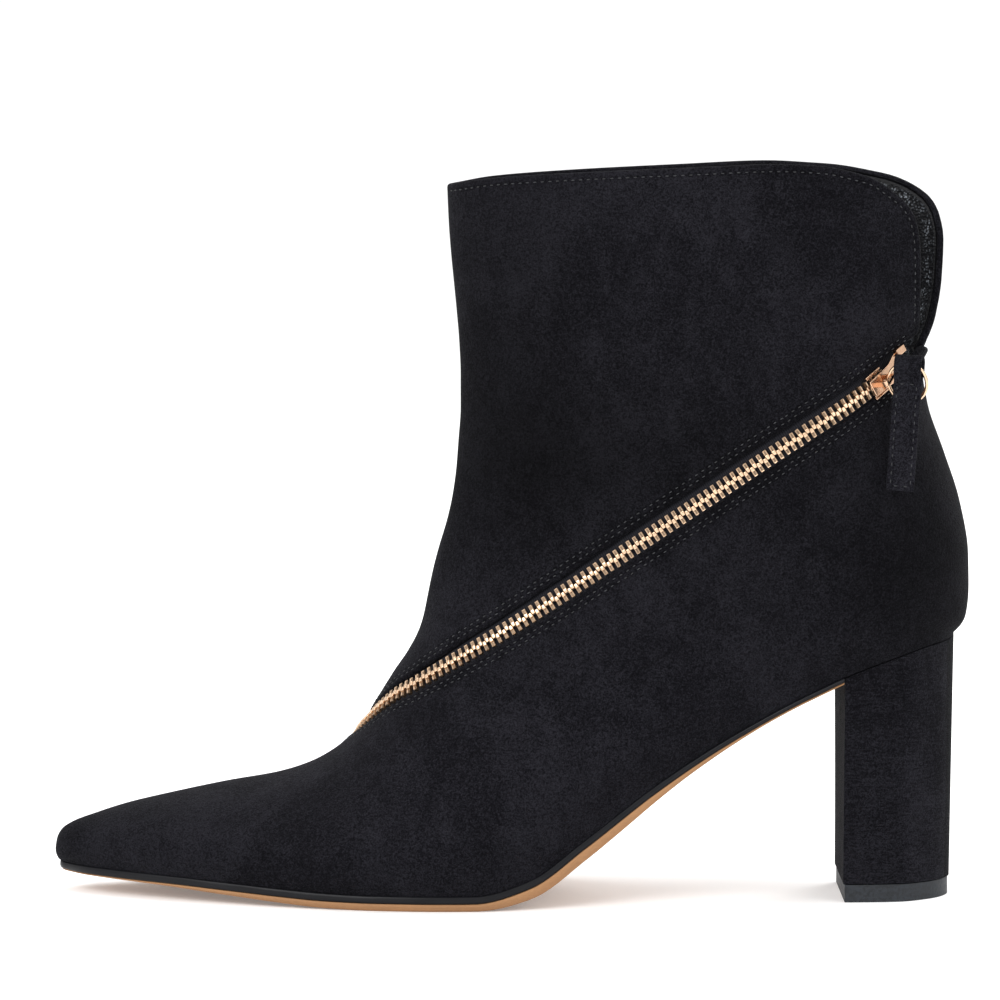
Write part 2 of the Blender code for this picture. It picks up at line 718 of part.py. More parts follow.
def add_stack(name, loops, tip_first, tip_last, material):
    points = []
    for lateral, medial in loops:
        for pair in zip(lateral, medial):
            points += pair
    faces = stack_faces(len(loops), len(loops[0][0]), tip_first, tip_last)
    used = sorted({i for face in faces for i in face})
    order = {old: new for new, old in enumerate(used)}
    faces = [[order[i] for i in face] for face in faces]
    return add_object(name, [points[i] for i in used], faces, material)


def floor_loop(form, places, grow, depth):
    """Both sides of the feather line, grown, and as deep under the foot as depth says at each x."""
    loop = []
    for side in (-1, 1):
        plan = plan_side(form, places, side, grow)
        loop.append([Vector((spot.x, spot.y, form.floor_z(spot.x) - depth(spot.x))) for spot in plan])
    return loop


def build_sole(form):
    end = BREAST_X - FIT_GAP
    places = [x for x in plan_places(form) if x < end - WALL] + [end]
    rows = [x_at(row.along) for row in SOLE_ROWS]
    edge = Curve(rows, [row.edge * MM for row in SOLE_ROWS])
    outsole = Curve(rows, [row.outsole * MM for row in SOLE_ROWS])
    loops = [floor_loop(form, places, EDGE_GROW, lambda x: FIT_GAP),
             floor_loop(form, places, EDGE_GROW, lambda x: FIT_GAP + edge(x))]
    add_stack("sole_edge", loops, True, False, make_material("black gloss", BLACK_GLOSS))
    loops = [floor_loop(form, places, EDGE_GROW, lambda x: 2 * FIT_GAP + edge(x)),
             floor_loop(form, places, EDGE_GROW - OUTSOLE_BEVEL,
                        lambda x: 2 * FIT_GAP + edge(x) + outsole(x))]
    add_stack("outsole", loops, True, False, make_material("tan rubber", TAN_RUBBER))


def build_insole(form):
    places = plan_places(form)
    loops = [floor_loop(form, places, -INSOLE_TOP_INSET, lambda x: -INSOLE_THICK),
             floor_loop(form, places, -INSOLE_BOTTOM_INSET, lambda x: 0.0)]
    add_stack("insole", loops, True, True, make_material("black board", BLACK_BOARD))


def heel_loop(form, places, drop, inset=0.0):
    """A plan loop of the block heel; drop is 0 at the heel seat and 1 at the lift."""
    eased = 1 - (1 - drop) ** 2
    width = 1 + (HEEL_BOTTOM_WIDTH - 1) * eased
    length = 1 + (HEEL_BOTTOM_LENGTH - 1) * drop
    low = LIFT_THICK + FIT_GAP
    loop = []
    for side in (-1, 1):
        line = []
        for spot in plan_side(form, places, side, 0.0):
            seat = form.floor_z(spot.x) - FIT_GAP
            back_share = (spot.x - BREAST_X) / (form.heel_x - BREAST_X)
            x = BREAST_X + (spot.x - BREAST_X) * length
            x += inset * (1 - 2 * back_share)
            y = spot.y * width
            y -= math.copysign(min(inset, abs(y)), y)
            line.append(Vector((x, y, seat + (low - seat) * drop)))
        loop.append(line)
    return loop


def build_heel(form):
    places = [BREAST_X + (form.heel_x - BREAST_X) * math.sin(QUARTER_TURN * i / HEEL_STEPS)
              for i in range(HEEL_STEPS + 1)]
    loops = [heel_loop(form, places, i / HEEL_LEVELS) for i in range(HEEL_LEVELS + 1)]
    add_stack("heel", loops, False, True, make_material("heel suede", SUEDE))
    top = heel_loop(form, places, 1.0, LIFT_INSET)
    lift = []
    for z in (LIFT_THICK, 0.0):
        lift.append([[Vector((spot.x, spot.y, z)) for spot in line] for line in top])
    add_stack("heel_lift", lift, False, True, make_material("grey rubber", GREY_RUBBER))


# Zip

def build_tape(name, route, side):
    points = []
    first = ZIP_END_MARGIN + FIT_GAP
    last = route.length - TAPE_END_MARGIN
    parting = route.length - SLIDER_FROM_END - SLIDER_HALF
    for i in range(SLOT_STEPS + 1):
        length = first + (last - first) * i / SLOT_STEPS
        parted = max(length - parting, 0.0) / SLIDER_HALF
        inner = min(TAPE_INNER + parted * TAPE_PARTED, TAPE_PARTED)
        for across, depth in ((inner, TAPE_TOP), (TAPE_HALF, TAPE_TOP),
                              (TAPE_HALF, TAPE_TOP + TAPE_THICK), (inner, TAPE_TOP + TAPE_THICK)):
            points.append(route.beside(length, side * across, depth))
    add_object(name, points, tube_faces(SLOT_STEPS + 1, 4), make_material(name, BLACK_TAPE))


def build_teeth(route):
    points = []
    first = ZIP_END_MARGIN + 2 * FIT_GAP
    last = route.length - SLIDER_FROM_END
    half_pitch = 0.5 * TOOTH_PITCH
    count = int((last - first) / half_pitch)
    for i in range(count):
        below, above = (CHAIN_HALF, SPINE_HALF) if i % 2 else (SPINE_HALF, CHAIN_HALF)
        for length in (first + i * half_pitch + TOOTH_SLOPE, first + (i + 1) * half_pitch - TOOTH_SLOPE):
            frame = route.frame(length)
            for across, out in ((-below, CHAIN_TOP), (above, CHAIN_TOP),
                                (above, CHAIN_BOTTOM), (-below, CHAIN_BOTTOM)):
                points.append(frame.origin + across * frame.across + out * frame.out)
    add_object("zip_teeth", points, tube_faces(2 * count, 4), make_material("zip gold", PALE_GOLD))


def mirrored(outline):
    """A closed outline from its half on one side of the zip's middle."""
    return outline + [(along, -across) for along, across in reversed(outline) if across != 0]


def slider_plate():
    """Plan of a slider plate: a narrow tail, two shoulders and a notch at the head."""
    return mirrored([(row.along * PER_CENT * SLIDER_HALF, row.half_width * MM) for row in PLATE_ROWS])


def build_slider(frame):
    gold = make_material("slider gold", PALE_GOLD)
    slider = prism("zip_slider", frame, slider_plate(), ("along", "across"),
                   PLATE_BOTTOM, PLATE_TOP, gold)
    inner = prism("add_inner_plate", frame, slider_plate(), ("along", "across"),
                  INNER_PLATE_BOTTOM, INNER_PLATE_TOP)
    post_plan = mirrored([(POST_FROM, POST_HALF), (POST_TO, POST_HALF)])
    post = prism("add_post", frame, post_plan, ("along", "across"),
                 INNER_PLATE_TOP - UNION_BITE, PLATE_BOTTOM + UNION_BITE)
    foot = PLATE_TOP - UNION_BITE
    slope = 0.5 * BAIL_BAR
    arch = [(BAIL_FROM, foot), (BAIL_FROM, BAIL_TOP - slope), (BAIL_FROM + slope, BAIL_TOP),
            (BAIL_TO - slope, BAIL_TOP), (BAIL_TO, BAIL_TOP - slope), (BAIL_TO, foot),
            (BAIL_TO - BAIL_BAR, foot), (BAIL_TO - BAIL_BAR, BAIL_TOP - BAIL_BAR),
            (BAIL_FROM + BAIL_BAR, BAIL_TOP - BAIL_BAR), (BAIL_FROM + BAIL_BAR, foot)]
    bail = prism("add_bail", frame, arch, ("along", "out"), -BAIL_HALF, BAIL_HALF)
    boolean(slider, post, "UNION")
    boolean(slider, inner, "UNION")
    boolean(slider, bail, "UNION")
    for name, side in (("add_flange_above", 1), ("add_flange_below", -1)):
        edges = sorted((side * FLANGE_INNER, side * FLANGE_OUTER))
        plan = [(FLANGE_FROM, edges[0]), (FLANGE_TO, edges[0]), (FLANGE_TO, edges[1]),
                (FLANGE_FROM, edges[1])]
        flange = prism(name, frame, plan, ("along", "across"), FLANGE_BOTTOM, PLATE_BOTTOM + UNION_BITE)
        boolean(slider, flange, "UNION")


# Pull

def ring_directions():
    """The way from the hinge to the ring's middle, the ring's upward way and the tab's width."""
    level = Vector((math.cos(RING_SWING), -math.sin(RING_SWING), 0.0))
    facing = Vector((-math.sin(RING_SWING), -math.cos(RING_SWING), 0.0))
    up = Vector((0.0, 0.0, 1.0))
    reach = math.cos(RING_DROOP) * level - math.sin(RING_DROOP) * up
    upright = math.sin(RING_DROOP) * level + math.cos(RING_DROOP) * up
    return reach, math.cos(RING_TILT) * upright + math.sin(RING_TILT) * facing, level


def build_ring(hinge):
    reach, upright, level = ring_directions()
    normal = reach.cross(upright)
    middle = hinge + RING_RADIUS * reach
    points = []
    for i in range(RING_STEPS):
        turn = 2 * math.pi * i / RING_STEPS
        spoke = math.cos(turn) * reach + math.sin(turn) * upright
        for k in range(WIRE_STEPS):
            wire = 2 * math.pi * (k + 0.5) / WIRE_STEPS
            points.append(middle + (RING_RADIUS + WIRE_RADIUS * math.cos(wire)) * spoke
                          + WIRE_RADIUS * math.sin(wire) * normal)
    faces = []
    for i in range(RING_STEPS):
        for k in range(WIRE_STEPS):
            ring = i * WIRE_STEPS
            following = (i + 1) % RING_STEPS * WIRE_STEPS
            turned = (k + 1) % WIRE_STEPS
            faces.append([ring + k, ring + turned, following + turned, following + k])
    add_object("pull_ring", points, faces, make_material("ring gold", PALE_GOLD), hinge)
    return middle + RING_RADIUS * upright


def tab_profile():
    """Side of the folded tab: points as thickness and length from the fold, and its faces."""
    outer_radius = TUNNEL_HALF + TAB_LAYER
    turns = [math.pi * i / FOLD_STEPS for i in range(FOLD_STEPS + 1)]
    outer = [(TAB_HALF_THICK, FOLD_END), (outer_radius, TUNNEL_SIDE_END)]
    inner = [(0.0, TUNNEL_END), (TUNNEL_HALF, TUNNEL_SIDE_END)]
    for turn in turns:
        outer.append((outer_radius * math.cos(turn), outer_radius * (1 - math.sin(turn))))
        inner.append((TUNNEL_HALF * math.cos(turn), outer_radius - TUNNEL_HALF * math.sin(turn)))
    outer += [(-outer_radius, TUNNEL_SIDE_END), (-TAB_HALF_THICK, FOLD_END)]
    inner.append((-TUNNEL_HALF, TUNNEL_SIDE_END))
    count = len(outer)
    points = outer + inner
    closing = count + len(inner)
    points += [(side * TAB_HALF_THICK, length) for length in TAB_ROWS for side in (1, -1)]
    faces = []
    for i in range(count - 1):
        following = count + (i + 1) % len(inner)
        faces.append([i, i + 1, following, count + i])
    faces.append([0, count, count - 1, closing + 1, closing])
    for i in range(len(TAB_ROWS) - 1):
        row = closing + 2 * i
        faces.append([row, row + 1, row + 3, row + 2])
    return points, faces


def build_tab(hinge, wire_top):
    down = Vector((-math.tan(TAB_LEAN_FORWARD), -math.tan(TAB_LEAN_OUT), -1.0)).normalized()
    width = ring_directions()[2]
    width = (width - width.dot(down) * down).normalized()
    facing = down.cross(width)
    fold = wire_top + TAB_ASIDE * width - WIRE_AHEAD * facing - WIRE_BELOW_FOLD * down
    profile, flat_faces = tab_profile()
    shape = bmesh.new()
    corners = [shape.verts.new((thick, length, -TAB_HALF_WIDTH)) for thick, length in profile]
    for face in flat_faces:
        shape.faces.new([corners[i] for i in face])
    raised = bmesh.ops.extrude_face_region(shape, geom=shape.faces[:])
    moved = [item for item in raised["geom"] if isinstance(item, bmesh.types.BMVert)]
    bmesh.ops.translate(shape, verts=moved, vec=(0.0, 0.0, 2 * TAB_HALF_WIDTH))
    shape.verts.index_update()
    points = []
    for vertex in shape.verts:
        thick, length, aside = vertex.co
        turn = TAB_TWIST * length / TAB_LENGTH
        face_way = math.cos(turn) * facing + math.sin(turn) * width
        side_way = math.cos(turn) * width - math.sin(turn) * facing
        points.append(fold + length * down + thick * face_way + aside * side_way)
    faces = [[vertex.index for vertex in face.verts] for face in shape.faces]
    shape.free()
    add_object("pull_tab", points, faces, make_material("tab suede", SUEDE), hinge)


def main():
    for thing in list(bpy.data.objects):
        bpy.data.objects.remove(thing, do_unlink=True)
    form = UpperForm()
    route = ZipRoute(form)
    build_upper(form, route)
    build_insole(form)
    build_sole(form)
    build_heel(form)
    build_tape("zip_tape_upper", route, 1)
    build_tape("zip_tape_lower", route, -1)
    build_teeth(route)
    frame = route.frame(route.length - SLIDER_FROM_END)
    build_slider(frame)
    hinge = frame.origin + HINGE_ALONG * frame.along + HINGE_OUT * frame.out
    build_tab(hinge, build_ring(hinge))


main()
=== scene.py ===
"""Looks of a left ankle bootie: napped suede, a gold zip, a covered heel and a tan sole."""

import math
from collections import namedtuple

import bmesh
import bpy
import numpy as np
from bpy.props import FloatProperty, FloatVectorProperty, PointerProperty
from bpy.types import Operator, Panel, PropertyGroup
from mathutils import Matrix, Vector


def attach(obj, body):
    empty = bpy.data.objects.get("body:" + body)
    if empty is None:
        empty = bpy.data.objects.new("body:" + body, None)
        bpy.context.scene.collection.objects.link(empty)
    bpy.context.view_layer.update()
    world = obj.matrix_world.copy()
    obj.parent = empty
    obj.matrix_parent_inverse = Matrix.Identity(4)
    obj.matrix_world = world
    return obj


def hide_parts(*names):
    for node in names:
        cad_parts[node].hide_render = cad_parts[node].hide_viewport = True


bl_info = {
    "name": "Ankle bootie",
    "version": (1, 0, 0),
    "blender": (4, 5, 0),
    "location": "View3D > Sidebar > Bootie",
    "description": "Dresses the frame of an ankle bootie in suede, zip, sole and heel",
    "category": "Object",
}

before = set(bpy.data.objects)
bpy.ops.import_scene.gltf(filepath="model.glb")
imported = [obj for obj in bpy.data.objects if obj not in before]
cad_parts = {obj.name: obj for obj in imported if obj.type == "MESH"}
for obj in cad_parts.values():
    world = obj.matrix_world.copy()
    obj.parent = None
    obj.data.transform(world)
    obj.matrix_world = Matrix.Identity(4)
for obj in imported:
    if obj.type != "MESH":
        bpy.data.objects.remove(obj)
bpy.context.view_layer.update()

MM = 0.001
PER_CENT = 0.01
QUARTER_TURN = 0.5 * math.pi
WHITE = (1.0, 1.0, 1.0, 1.0)
BLACK = (0.0, 0.0, 0.0, 1.0)


def table(columns, rows, defaults=()):
    """Rows whose columns have names, with defaults for a short row's last columns."""
    row = namedtuple("Row", columns, defaults=defaults)
    return tuple(row(*values) for values in rows)


# Driving sizes of the shoe, as in the frame
LENGTH = 261 * MM
BALL_WIDTH = 86 * MM
HEEL_HEIGHT = 75 * MM
SHAFT_HEIGHT = 209 * MM
FIT_GAP = 0.3 * MM

# Sections of the foot from the nose to the heel seat, in per cent of the driving sizes
FOOT_ROWS = table("bottom_x bottom_z lean top_z lateral medial belly_at peak ridge_y", (
    (0.0, 15.9, 0.0, 5.7, 0.0, 0.0, 45, 2.0, 16),
    (0.2, 12.6, 0.0, 7.1, 7.5, 7.5, 45, 2.0, 16),
    (0.7, 10.9, 0.0, 8.25, 13.5, 13.5, 45, 2.0, 16),
    (2.0, 10.6, 0.0, 9.35, 22.0, 22.0, 42, 2.0, 15),
    (4.5, 10.4, 0.0, 10.5, 32.0, 31.0, 40, 1.9, 15),
    (8.0, 10.0, 0.0, 11.9, 44.0, 42.0, 38, 1.8, 14),
    (13.0, 9.5, 0.0, 13.4, 58.0, 55.0, 36, 1.7, 12),
    (19.0, 8.4, 0.0, 15.0, 71.5, 69.0, 34, 1.6, 10),
    (25.0, 7.1, -0.3, 16.3, 82.5, 82.0, 32, 1.5, 8),
    (30.0, 6.1, -1.8, 17.75, 91.0, 91.0, 30, 1.5, 7),
    (35.0, 5.7, -3.6, 20.2, 97.0, 97.0, 29, 1.5, 6),
    (40.0, 5.7, -6.2, 23.4, 101.0, 99.0, 28, 1.5, 6),
    (46.0, 5.7, -10.4, 27.0, 101.5, 96.5, 28, 1.5, 6),
    (52.0, 11.0, -14.7, 30.5, 98.0, 91.5, 28, 1.5, 5),
    (58.0, 25.6, -19.3, 33.2, 92.5, 87.0, 28, 1.55, 4),
    (66.0, 46.4, -26.0, 36.6, 86.5, 83.0, 28, 1.6, 3),
    (74.0, 64.2, -33.0, 41.1, 82.5, 80.5, 28, 1.6, 2),
    (82.0, 79.3, -40.2, 45.0, 79.5, 79.0, 26.5, 1.65, 1),
    (89.0, 90.2, -46.6, 48.0, 78.6, 78.4, 26.5, 1.7, 0),
    (95.0, 97.0, -52.1, 50.4, 77.9, 77.8, 27.7, 1.7, 0),
    (98.4, 100.0, -55.1, 52.6, 77.4, 77.4, 29.2, 1.7, 0),
))

# Sections of the heel counter and the shaft, from the back line to the front line
SHAFT_ROWS = table("bottom_x bottom_z top_x top_z belly belly_at peak", (
    (99.7, 38.2, 43.75, 55.5, 77.2, 28.7, 1.7),
    (100.0, 42.0, 44.1, 58.5, 77.0, 28.5, 1.7),
    (99.9, 47.0, 44.35, 62.0, 76.9, 29.1, 1.7),
    (98.9, 54.0, 44.6, 66.5, 76.6, 30.3, 1.75),
    (97.2, 60.5, 44.6, 71.0, 76.2, 31.3, 1.8),
    (95.4, 67.0, 44.45, 75.5, 75.6, 33, 1.8),
    (94.8, 72.0, 44.2, 79.3, 75.0, 34, 1.8),
    (96.9, 77.0, 43.9, 83.2, 74.0, 35, 1.8),
    (98.6, 82.0, 43.6, 87.0, 73.0, 36, 1.8),
    (99.2, 88.0, 43.35, 91.0, 72.5, 37, 1.8),
    (99.4, 95.0, 43.2, 95.0, 72.0, 37, 1.8),
    (99.5, 102.0, 43.1, 98.6, 72.0, 37, 1.8),
))

# Feather line in plan
OUTLINE_ROWS = table("along lateral medial centre", (
    (0.7, 0.0, 0.0, 16), (1.6, 9.8, 9.8, 15.8), (4.0, 24.4, 24.0, 15), (8.0, 37.7, 36.5, 13),
    (13.0, 51.0, 49.0, 10.5), (19.0, 64.5, 62.0, 8), (25.0, 75.0, 73.5, 5), (30.0, 82.0, 81.5, 3),
    (37.0, 88.5, 88.0, 0.8), (42.0, 90.7, 88.5, 0), (47.0, 89.5, 85.0, 0), (54.0, 81.5, 73.5, 0),
    (62.0, 71.0, 60.5, 0), (70.0, 64.0, 55.0, 0), (78.0, 61.6, 55.0, 0), (86.0, 61.6, 59.5, 0),
    (92.0, 58.0, 57.0, 0), (96.0, 39.5, 39.5, 0), (98.4, 0.0, 0.0, 0),
))

# Thickness of the sole's two layers in millimetres
SOLE_ROWS = table("along edge outsole", (
    (0.7, 1.6, 0.4), (8.0, 1.7, 0.5), (19.0, 1.8, 1.2), (28.0, 1.8, 1.8), (35.0, 1.7, 1.975),
    (46.0, 1.7, 1.975), (51.0, 1.8, 2.8), (56.0, 1.9, 3.4), (62.0, 1.8, 3.0), (70.0, 1.4, 1.4),
    (78.0, 1.0, 0.6), (86.5, 0.8, 0.5),
))

# Rim of the collar and of the back notch in side view
COLLAR_ROWS = table("x z", (
    (38.0, 96.2), (43.1, 96.8), (47.8, 97.7), (55.5, 98.4), (68.6, 99.2), (78.5, 99.7), (83.5, 99.4),
))
LATERAL_NOTCH_ROWS = table("x z", (
    (86.3, 98.7), (88.8, 97.8), (90.9, 96.1), (92.6, 94.3), (93.6, 92.2), (94.1, 88.8), (94.2, 85.1),
    (94.2, 78.5), (94.1, 75.4),
))
MEDIAL_NOTCH_ROWS = table("x z", (
    (85.8, 99.2), (90.1, 98.3), (92.2, 97.7), (94.3, 96.6), (96.4, 94.5), (97.3, 91.9), (97.6, 89.1),
    (97.4, 83.7), (96.6, 78.3), (95.2, 74.2),
))
NOTCH_FLOOR_X = 97.5
NOTCH_FLOOR_Z = 73.0
STEEPEST = 0.2
RIM_STITCH = 2.1
RIM_SEAM_SHARE = 0.97
RIM_SPOTS = 160
RIDGE_CLEAR = 0.004
# Distance from the rim to the middle of the lining's strip of painted highlights, in millimetres
FACING_PAINTED_HIGHLIGHT = 4.2
FACING_BINDING = 1.7
RIM_PAST_X = 115
RIM_PAST_Z = 120

# Middle of the zip in side view: side is -1 on the lateral wall, 0 on the ridge, 1 past it
ZIP_ROWS = table("x z side", (
    (93.6, 74.7, -1), (88.9, 70.0, -1), (79.5, 62.3, -1), (66.2, 51.05, -1), (50.4, 37.9, -1),
    (38.9, 29.1, -1), (33.7, 23.4, 0), (33.1, 21.4, 1),
))

LOWER_SHARE = 5 / 13
LOWEST_BELLY = 0.15
HIGHEST_BELLY = 0.5
NUDGE = 0.0005

# Density of the suede shell
FOOT_CELLS = 170
SHAFT_CELLS = 78
HALF_CELLS = 74
NOSE_CELLS = 7
EDGE_TURNS = 6
EDGE_MERGE = 0.3 * MM
POLE_MERGE = 0.002 * MM
SHELL_LAYERS = ("zip_across", "rim_off", "zip_along")
FAR_OFF = 30 * MM
FAR_ACROSS = 99 * MM
BOTTOM_AROUND = 0.999
BOTTOM_ROLL = 0.1

# Zip
SLOT_BELOW = 3.0 * MM
SLOT_ABOVE = 4.1 * MM
SLOT_START = 3 * MM
SLOT_RUN_OUT = 9 * MM
TOOTH_PITCH = 2.2 * MM
TAPE_HALF = 8 * MM
TAPE_END = 6 * MM
TAPE_PROFILE = ((0.0, 1.35), (0.02, 1.2), (0.25, 1.2), (0.40, 1.3), (0.47, 1.7), (0.54, 2.1), (0.98, 2.15),
                (1.0, 2.3), (1.0, 2.6), (0.98, 2.75), (0.54, 2.75), (0.47, 2.6), (0.40, 2.3), (0.02, 1.95),
                (0.0, 1.8))
TAPE_RIBS = 2100.0
TAPE_SPOTS = 170
TAPE_GAP = 0.15 * MM
TAPE_PARTING = 1.3 * MM
FIRST_TOOTH = 0.3 * MM
STITCH_ROWS = (-6.0, -4.6, 5.6, 7.1)
ZIP_SEAM_START = 1.5 * MM
ZIP_SEAM_END = 2 * MM
SEAM_SPOTS = 500

# Teeth as blocks in millimetres, from corner to corner
TOOTH_LEG = ((-0.54, 0.5, -1.7), (0.54, 2.38, 0.0))
TOOTH_HEAD = ((-0.60, -0.40, -1.7), (0.60, 0.9, 0.34))
HEAD_TAPER = 0.75
LEG_BEVEL = 0.10 * MM
HEAD_BEVEL = 0.20 * MM
LEG_DIMPLE = (0.19 * MM, 0.22 * MM)
# Painted shade on the teeth's legs and painted shadow in their dimples, as shares of the heads' gold
LEG_PAINTED_SHADE = 0.62
DIMPLE_PAINTED_SHADOW = 0.28
DIMPLE_SHADOW_FINISH = 1
HEAD_FINISH = 2
FACING_UP = 0.9

# Sole and heel
BREAST_X = 94 * MM
HEEL_BOTTOM_WIDTH = 0.79
# Painted shade on the heel's front face and a painted highlight on its rounded front corners, as shares of
# the suede's colour
HEEL_FRONT_PAINTED_SHADE = -0.42
HEEL_CORNER_PAINTED_HIGHLIGHT = 0.15
HEEL_BOTTOM_LENGTH = 0.97
LIFT_THICK = 5 * MM
LIFT_INSET = 0.4 * MM
HEEL_BEVEL = 1.0 * MM
LIFT_BEVEL = 0.35 * MM
FRONT_FACING = 0.9
CORNER_FACING = 0.35

# Side profiles of the sole's layers: growth and depth in millimetres, share of the layer's thickness
EDGE_PROFILE = ((-0.35, -0.05, 0.0), (0.28, 0.0, 0.0), (0.46, 0.12, 0.08), (0.56, 0.3, 0.5),
                (0.50, 0.3, 0.85), (0.30, 0.3, 1.0), (-0.2, 0.35, 1.0))
OUTSOLE_PROFILE = ((-0.3, 0.4, 0.0), (0.36, 0.45, 0.03), (0.46, 0.6, 0.10), (0.40, 0.6, 0.35),
                   (-0.2, 0.6, 0.85), (-0.55, 0.6, 0.97), (-1.0, 0.6, 1.0))
INSOLE_PROFILE = ((-2.4, 0.0), (-2.7, 1.2), (-3.3, 1.85), (-4.5, 2.0))
THIN_OUTSOLE = 1.2 * MM
THIN_INSET = 0.9 * MM
SOLE_SPOTS = 150
INSOLE_SPOTS = 120
TOE_SPOTS = 12
HEEL_SPOTS = 40
HEEL_LEVELS = 16

# Slider, in its own frame: along the zip, across it and out of the shaft
SLIDER_FROM_END = 13.5 * MM
SLIDER_HALF = 8 * MM
HINGE_ALONG = -2.1 * MM
HINGE_OUT = 3.1 * MM
PLATE_FRONT = (0.9 * MM, 2.0 * MM)
PLATE_REAR = (-5.8 * MM, -4.9 * MM)
BAIL_HALF = 0.8 * MM
SLIDER_BEVEL = 0.16 * MM
PLATE_DIMPLE = (0.62 * MM, 0.32 * MM)

# Pull ring and tab
RING_RADIUS = 5.6 * MM
WIRE_RADIUS = 0.5 * MM
RING_DROOP = math.radians(8)
RING_TILT = math.radians(15)
RING_SWING = math.radians(20)
TAB_LENGTH = 38 * MM
TAB_HALF_WIDTH = 3.9 * MM
TAB_ASIDE = 0.1 * MM
TAB_LAYER = 1.05 * MM
TUNNEL_HALF = 1.5 * MM
TUNNEL_SIDE_END = 5.7 * MM
FOLD_END = 7.9 * MM
WIRE_BELOW_FOLD = 2.5 * MM
WIRE_AHEAD = 0.3 * MM
TAB_LEAN_OUT = math.radians(6)
TAB_LEAN_FORWARD = math.radians(4.5)
TAB_TWIST = math.radians(18)
TAB_ROUND = 0.34 * MM
TAB_PLY_GAP = 0.02 * MM
BOW_END = 1.6 * MM
TAB_SPOTS = 26
BOW_SPOTS = 8
CROWN_SPOTS = 13
TAB_STITCH_LIFT = 0.05 * MM
TAB_SEAM_INSET = 1.15 * MM
TAB_SEAM_TOP = 0.4 * MM
TAB_SEAM_LOW = 1.2 * MM
TAB_SEAM_SPOTS = 60

# Camera: it looks at the middle of the shoe from far off, square to its side and a little from above
CAMERA_FAR = 1.6
CAMERA_ELEVATION = math.radians(4.5)
CAMERA_AIM = (-2.9 * MM, 0.0, 112.4 * MM)
CAMERA_LENS = 202.5
CAMERA_SENSOR = 36

# Light of the studio
WORLD_STRENGTH = 1.04
FLOOR_GLOW = 0.16
FLOOR_RADIUS = 40.0
FLOOR_CLOUDS = 0.985
LIGHT_AIM = (0.0, 0.0, 0.1)


class Curve:
    """A smooth curve through a table's rows that never overshoots them."""

    def __init__(self, places, values):
        self.places = np.asarray(places, dtype=float)
        self.values = np.asarray(values, dtype=float)
        steps = np.diff(self.places)
        rises = np.diff(self.values) / steps
        weight_before = 2 * steps[1:] + steps[:-1]
        weight_after = steps[1:] + 2 * steps[:-1]
        same_way = rises[:-1] * rises[1:] > 0
        before = np.where(same_way, rises[:-1], 1.0)
        after = np.where(same_way, rises[1:], 1.0)
        middle = (weight_before + weight_after) / (weight_before / before + weight_after / after)
        self.slopes = np.concatenate(([rises[0]], np.where(same_way, middle, 0.0), [rises[-1]]))

    def __call__(self, place):
        row = np.clip(np.searchsorted(self.places, place, side="right") - 1, 0, len(self.places) - 2)
        step = self.places[row + 1] - self.places[row]
        share = np.clip((place - self.places[row]) / step, 0.0, 1.0)
        rest = 1 - share
        start = (1 + 2 * share) * rest ** 2 * self.values[row]
        leave = share * rest ** 2 * step * self.slopes[row]
        end = share ** 2 * (3 - 2 * share) * self.values[row + 1]
        arrive = -share ** 2 * rest * step * self.slopes[row + 1]
        return start + leave + end + arrive


def x_at(per_cent):
    return (np.asarray(per_cent, dtype=float) * PER_CENT - 0.5) * LENGTH


def z_at(per_cent):
    return np.asarray(per_cent, dtype=float) * PER_CENT * SHAFT_HEIGHT


def half_ball(per_cent):
    return np.asarray(per_cent, dtype=float) * PER_CENT * 0.5 * BALL_WIDTH


def column(rows, name):
    return np.array([getattr(row, name) for row in rows], dtype=float)


def joined(foot_name, shaft_name=None):
    """A column of the foot's table, followed by one of the shaft's."""
    return np.concatenate((column(FOOT_ROWS, foot_name), column(SHAFT_ROWS, shaft_name or foot_name)))


def unit(vectors):
    vectors = np.asarray(vectors, dtype=float)
    return vectors / np.maximum(np.linalg.norm(vectors, axis=-1, keepdims=True), 1e-12)


def dot(first, second):
    return (first * second).sum(-1)


def square_to(vectors, ways):
    """The part of vectors that stands square to unit ways."""
    return vectors - dot(vectors, ways)[..., None] * ways


def lengths_along(points):
    """The length of a line of points up to each of them."""
    steps = np.linalg.norm(np.diff(points, axis=0), axis=-1)
    return np.concatenate(([0.0], np.cumsum(steps)))


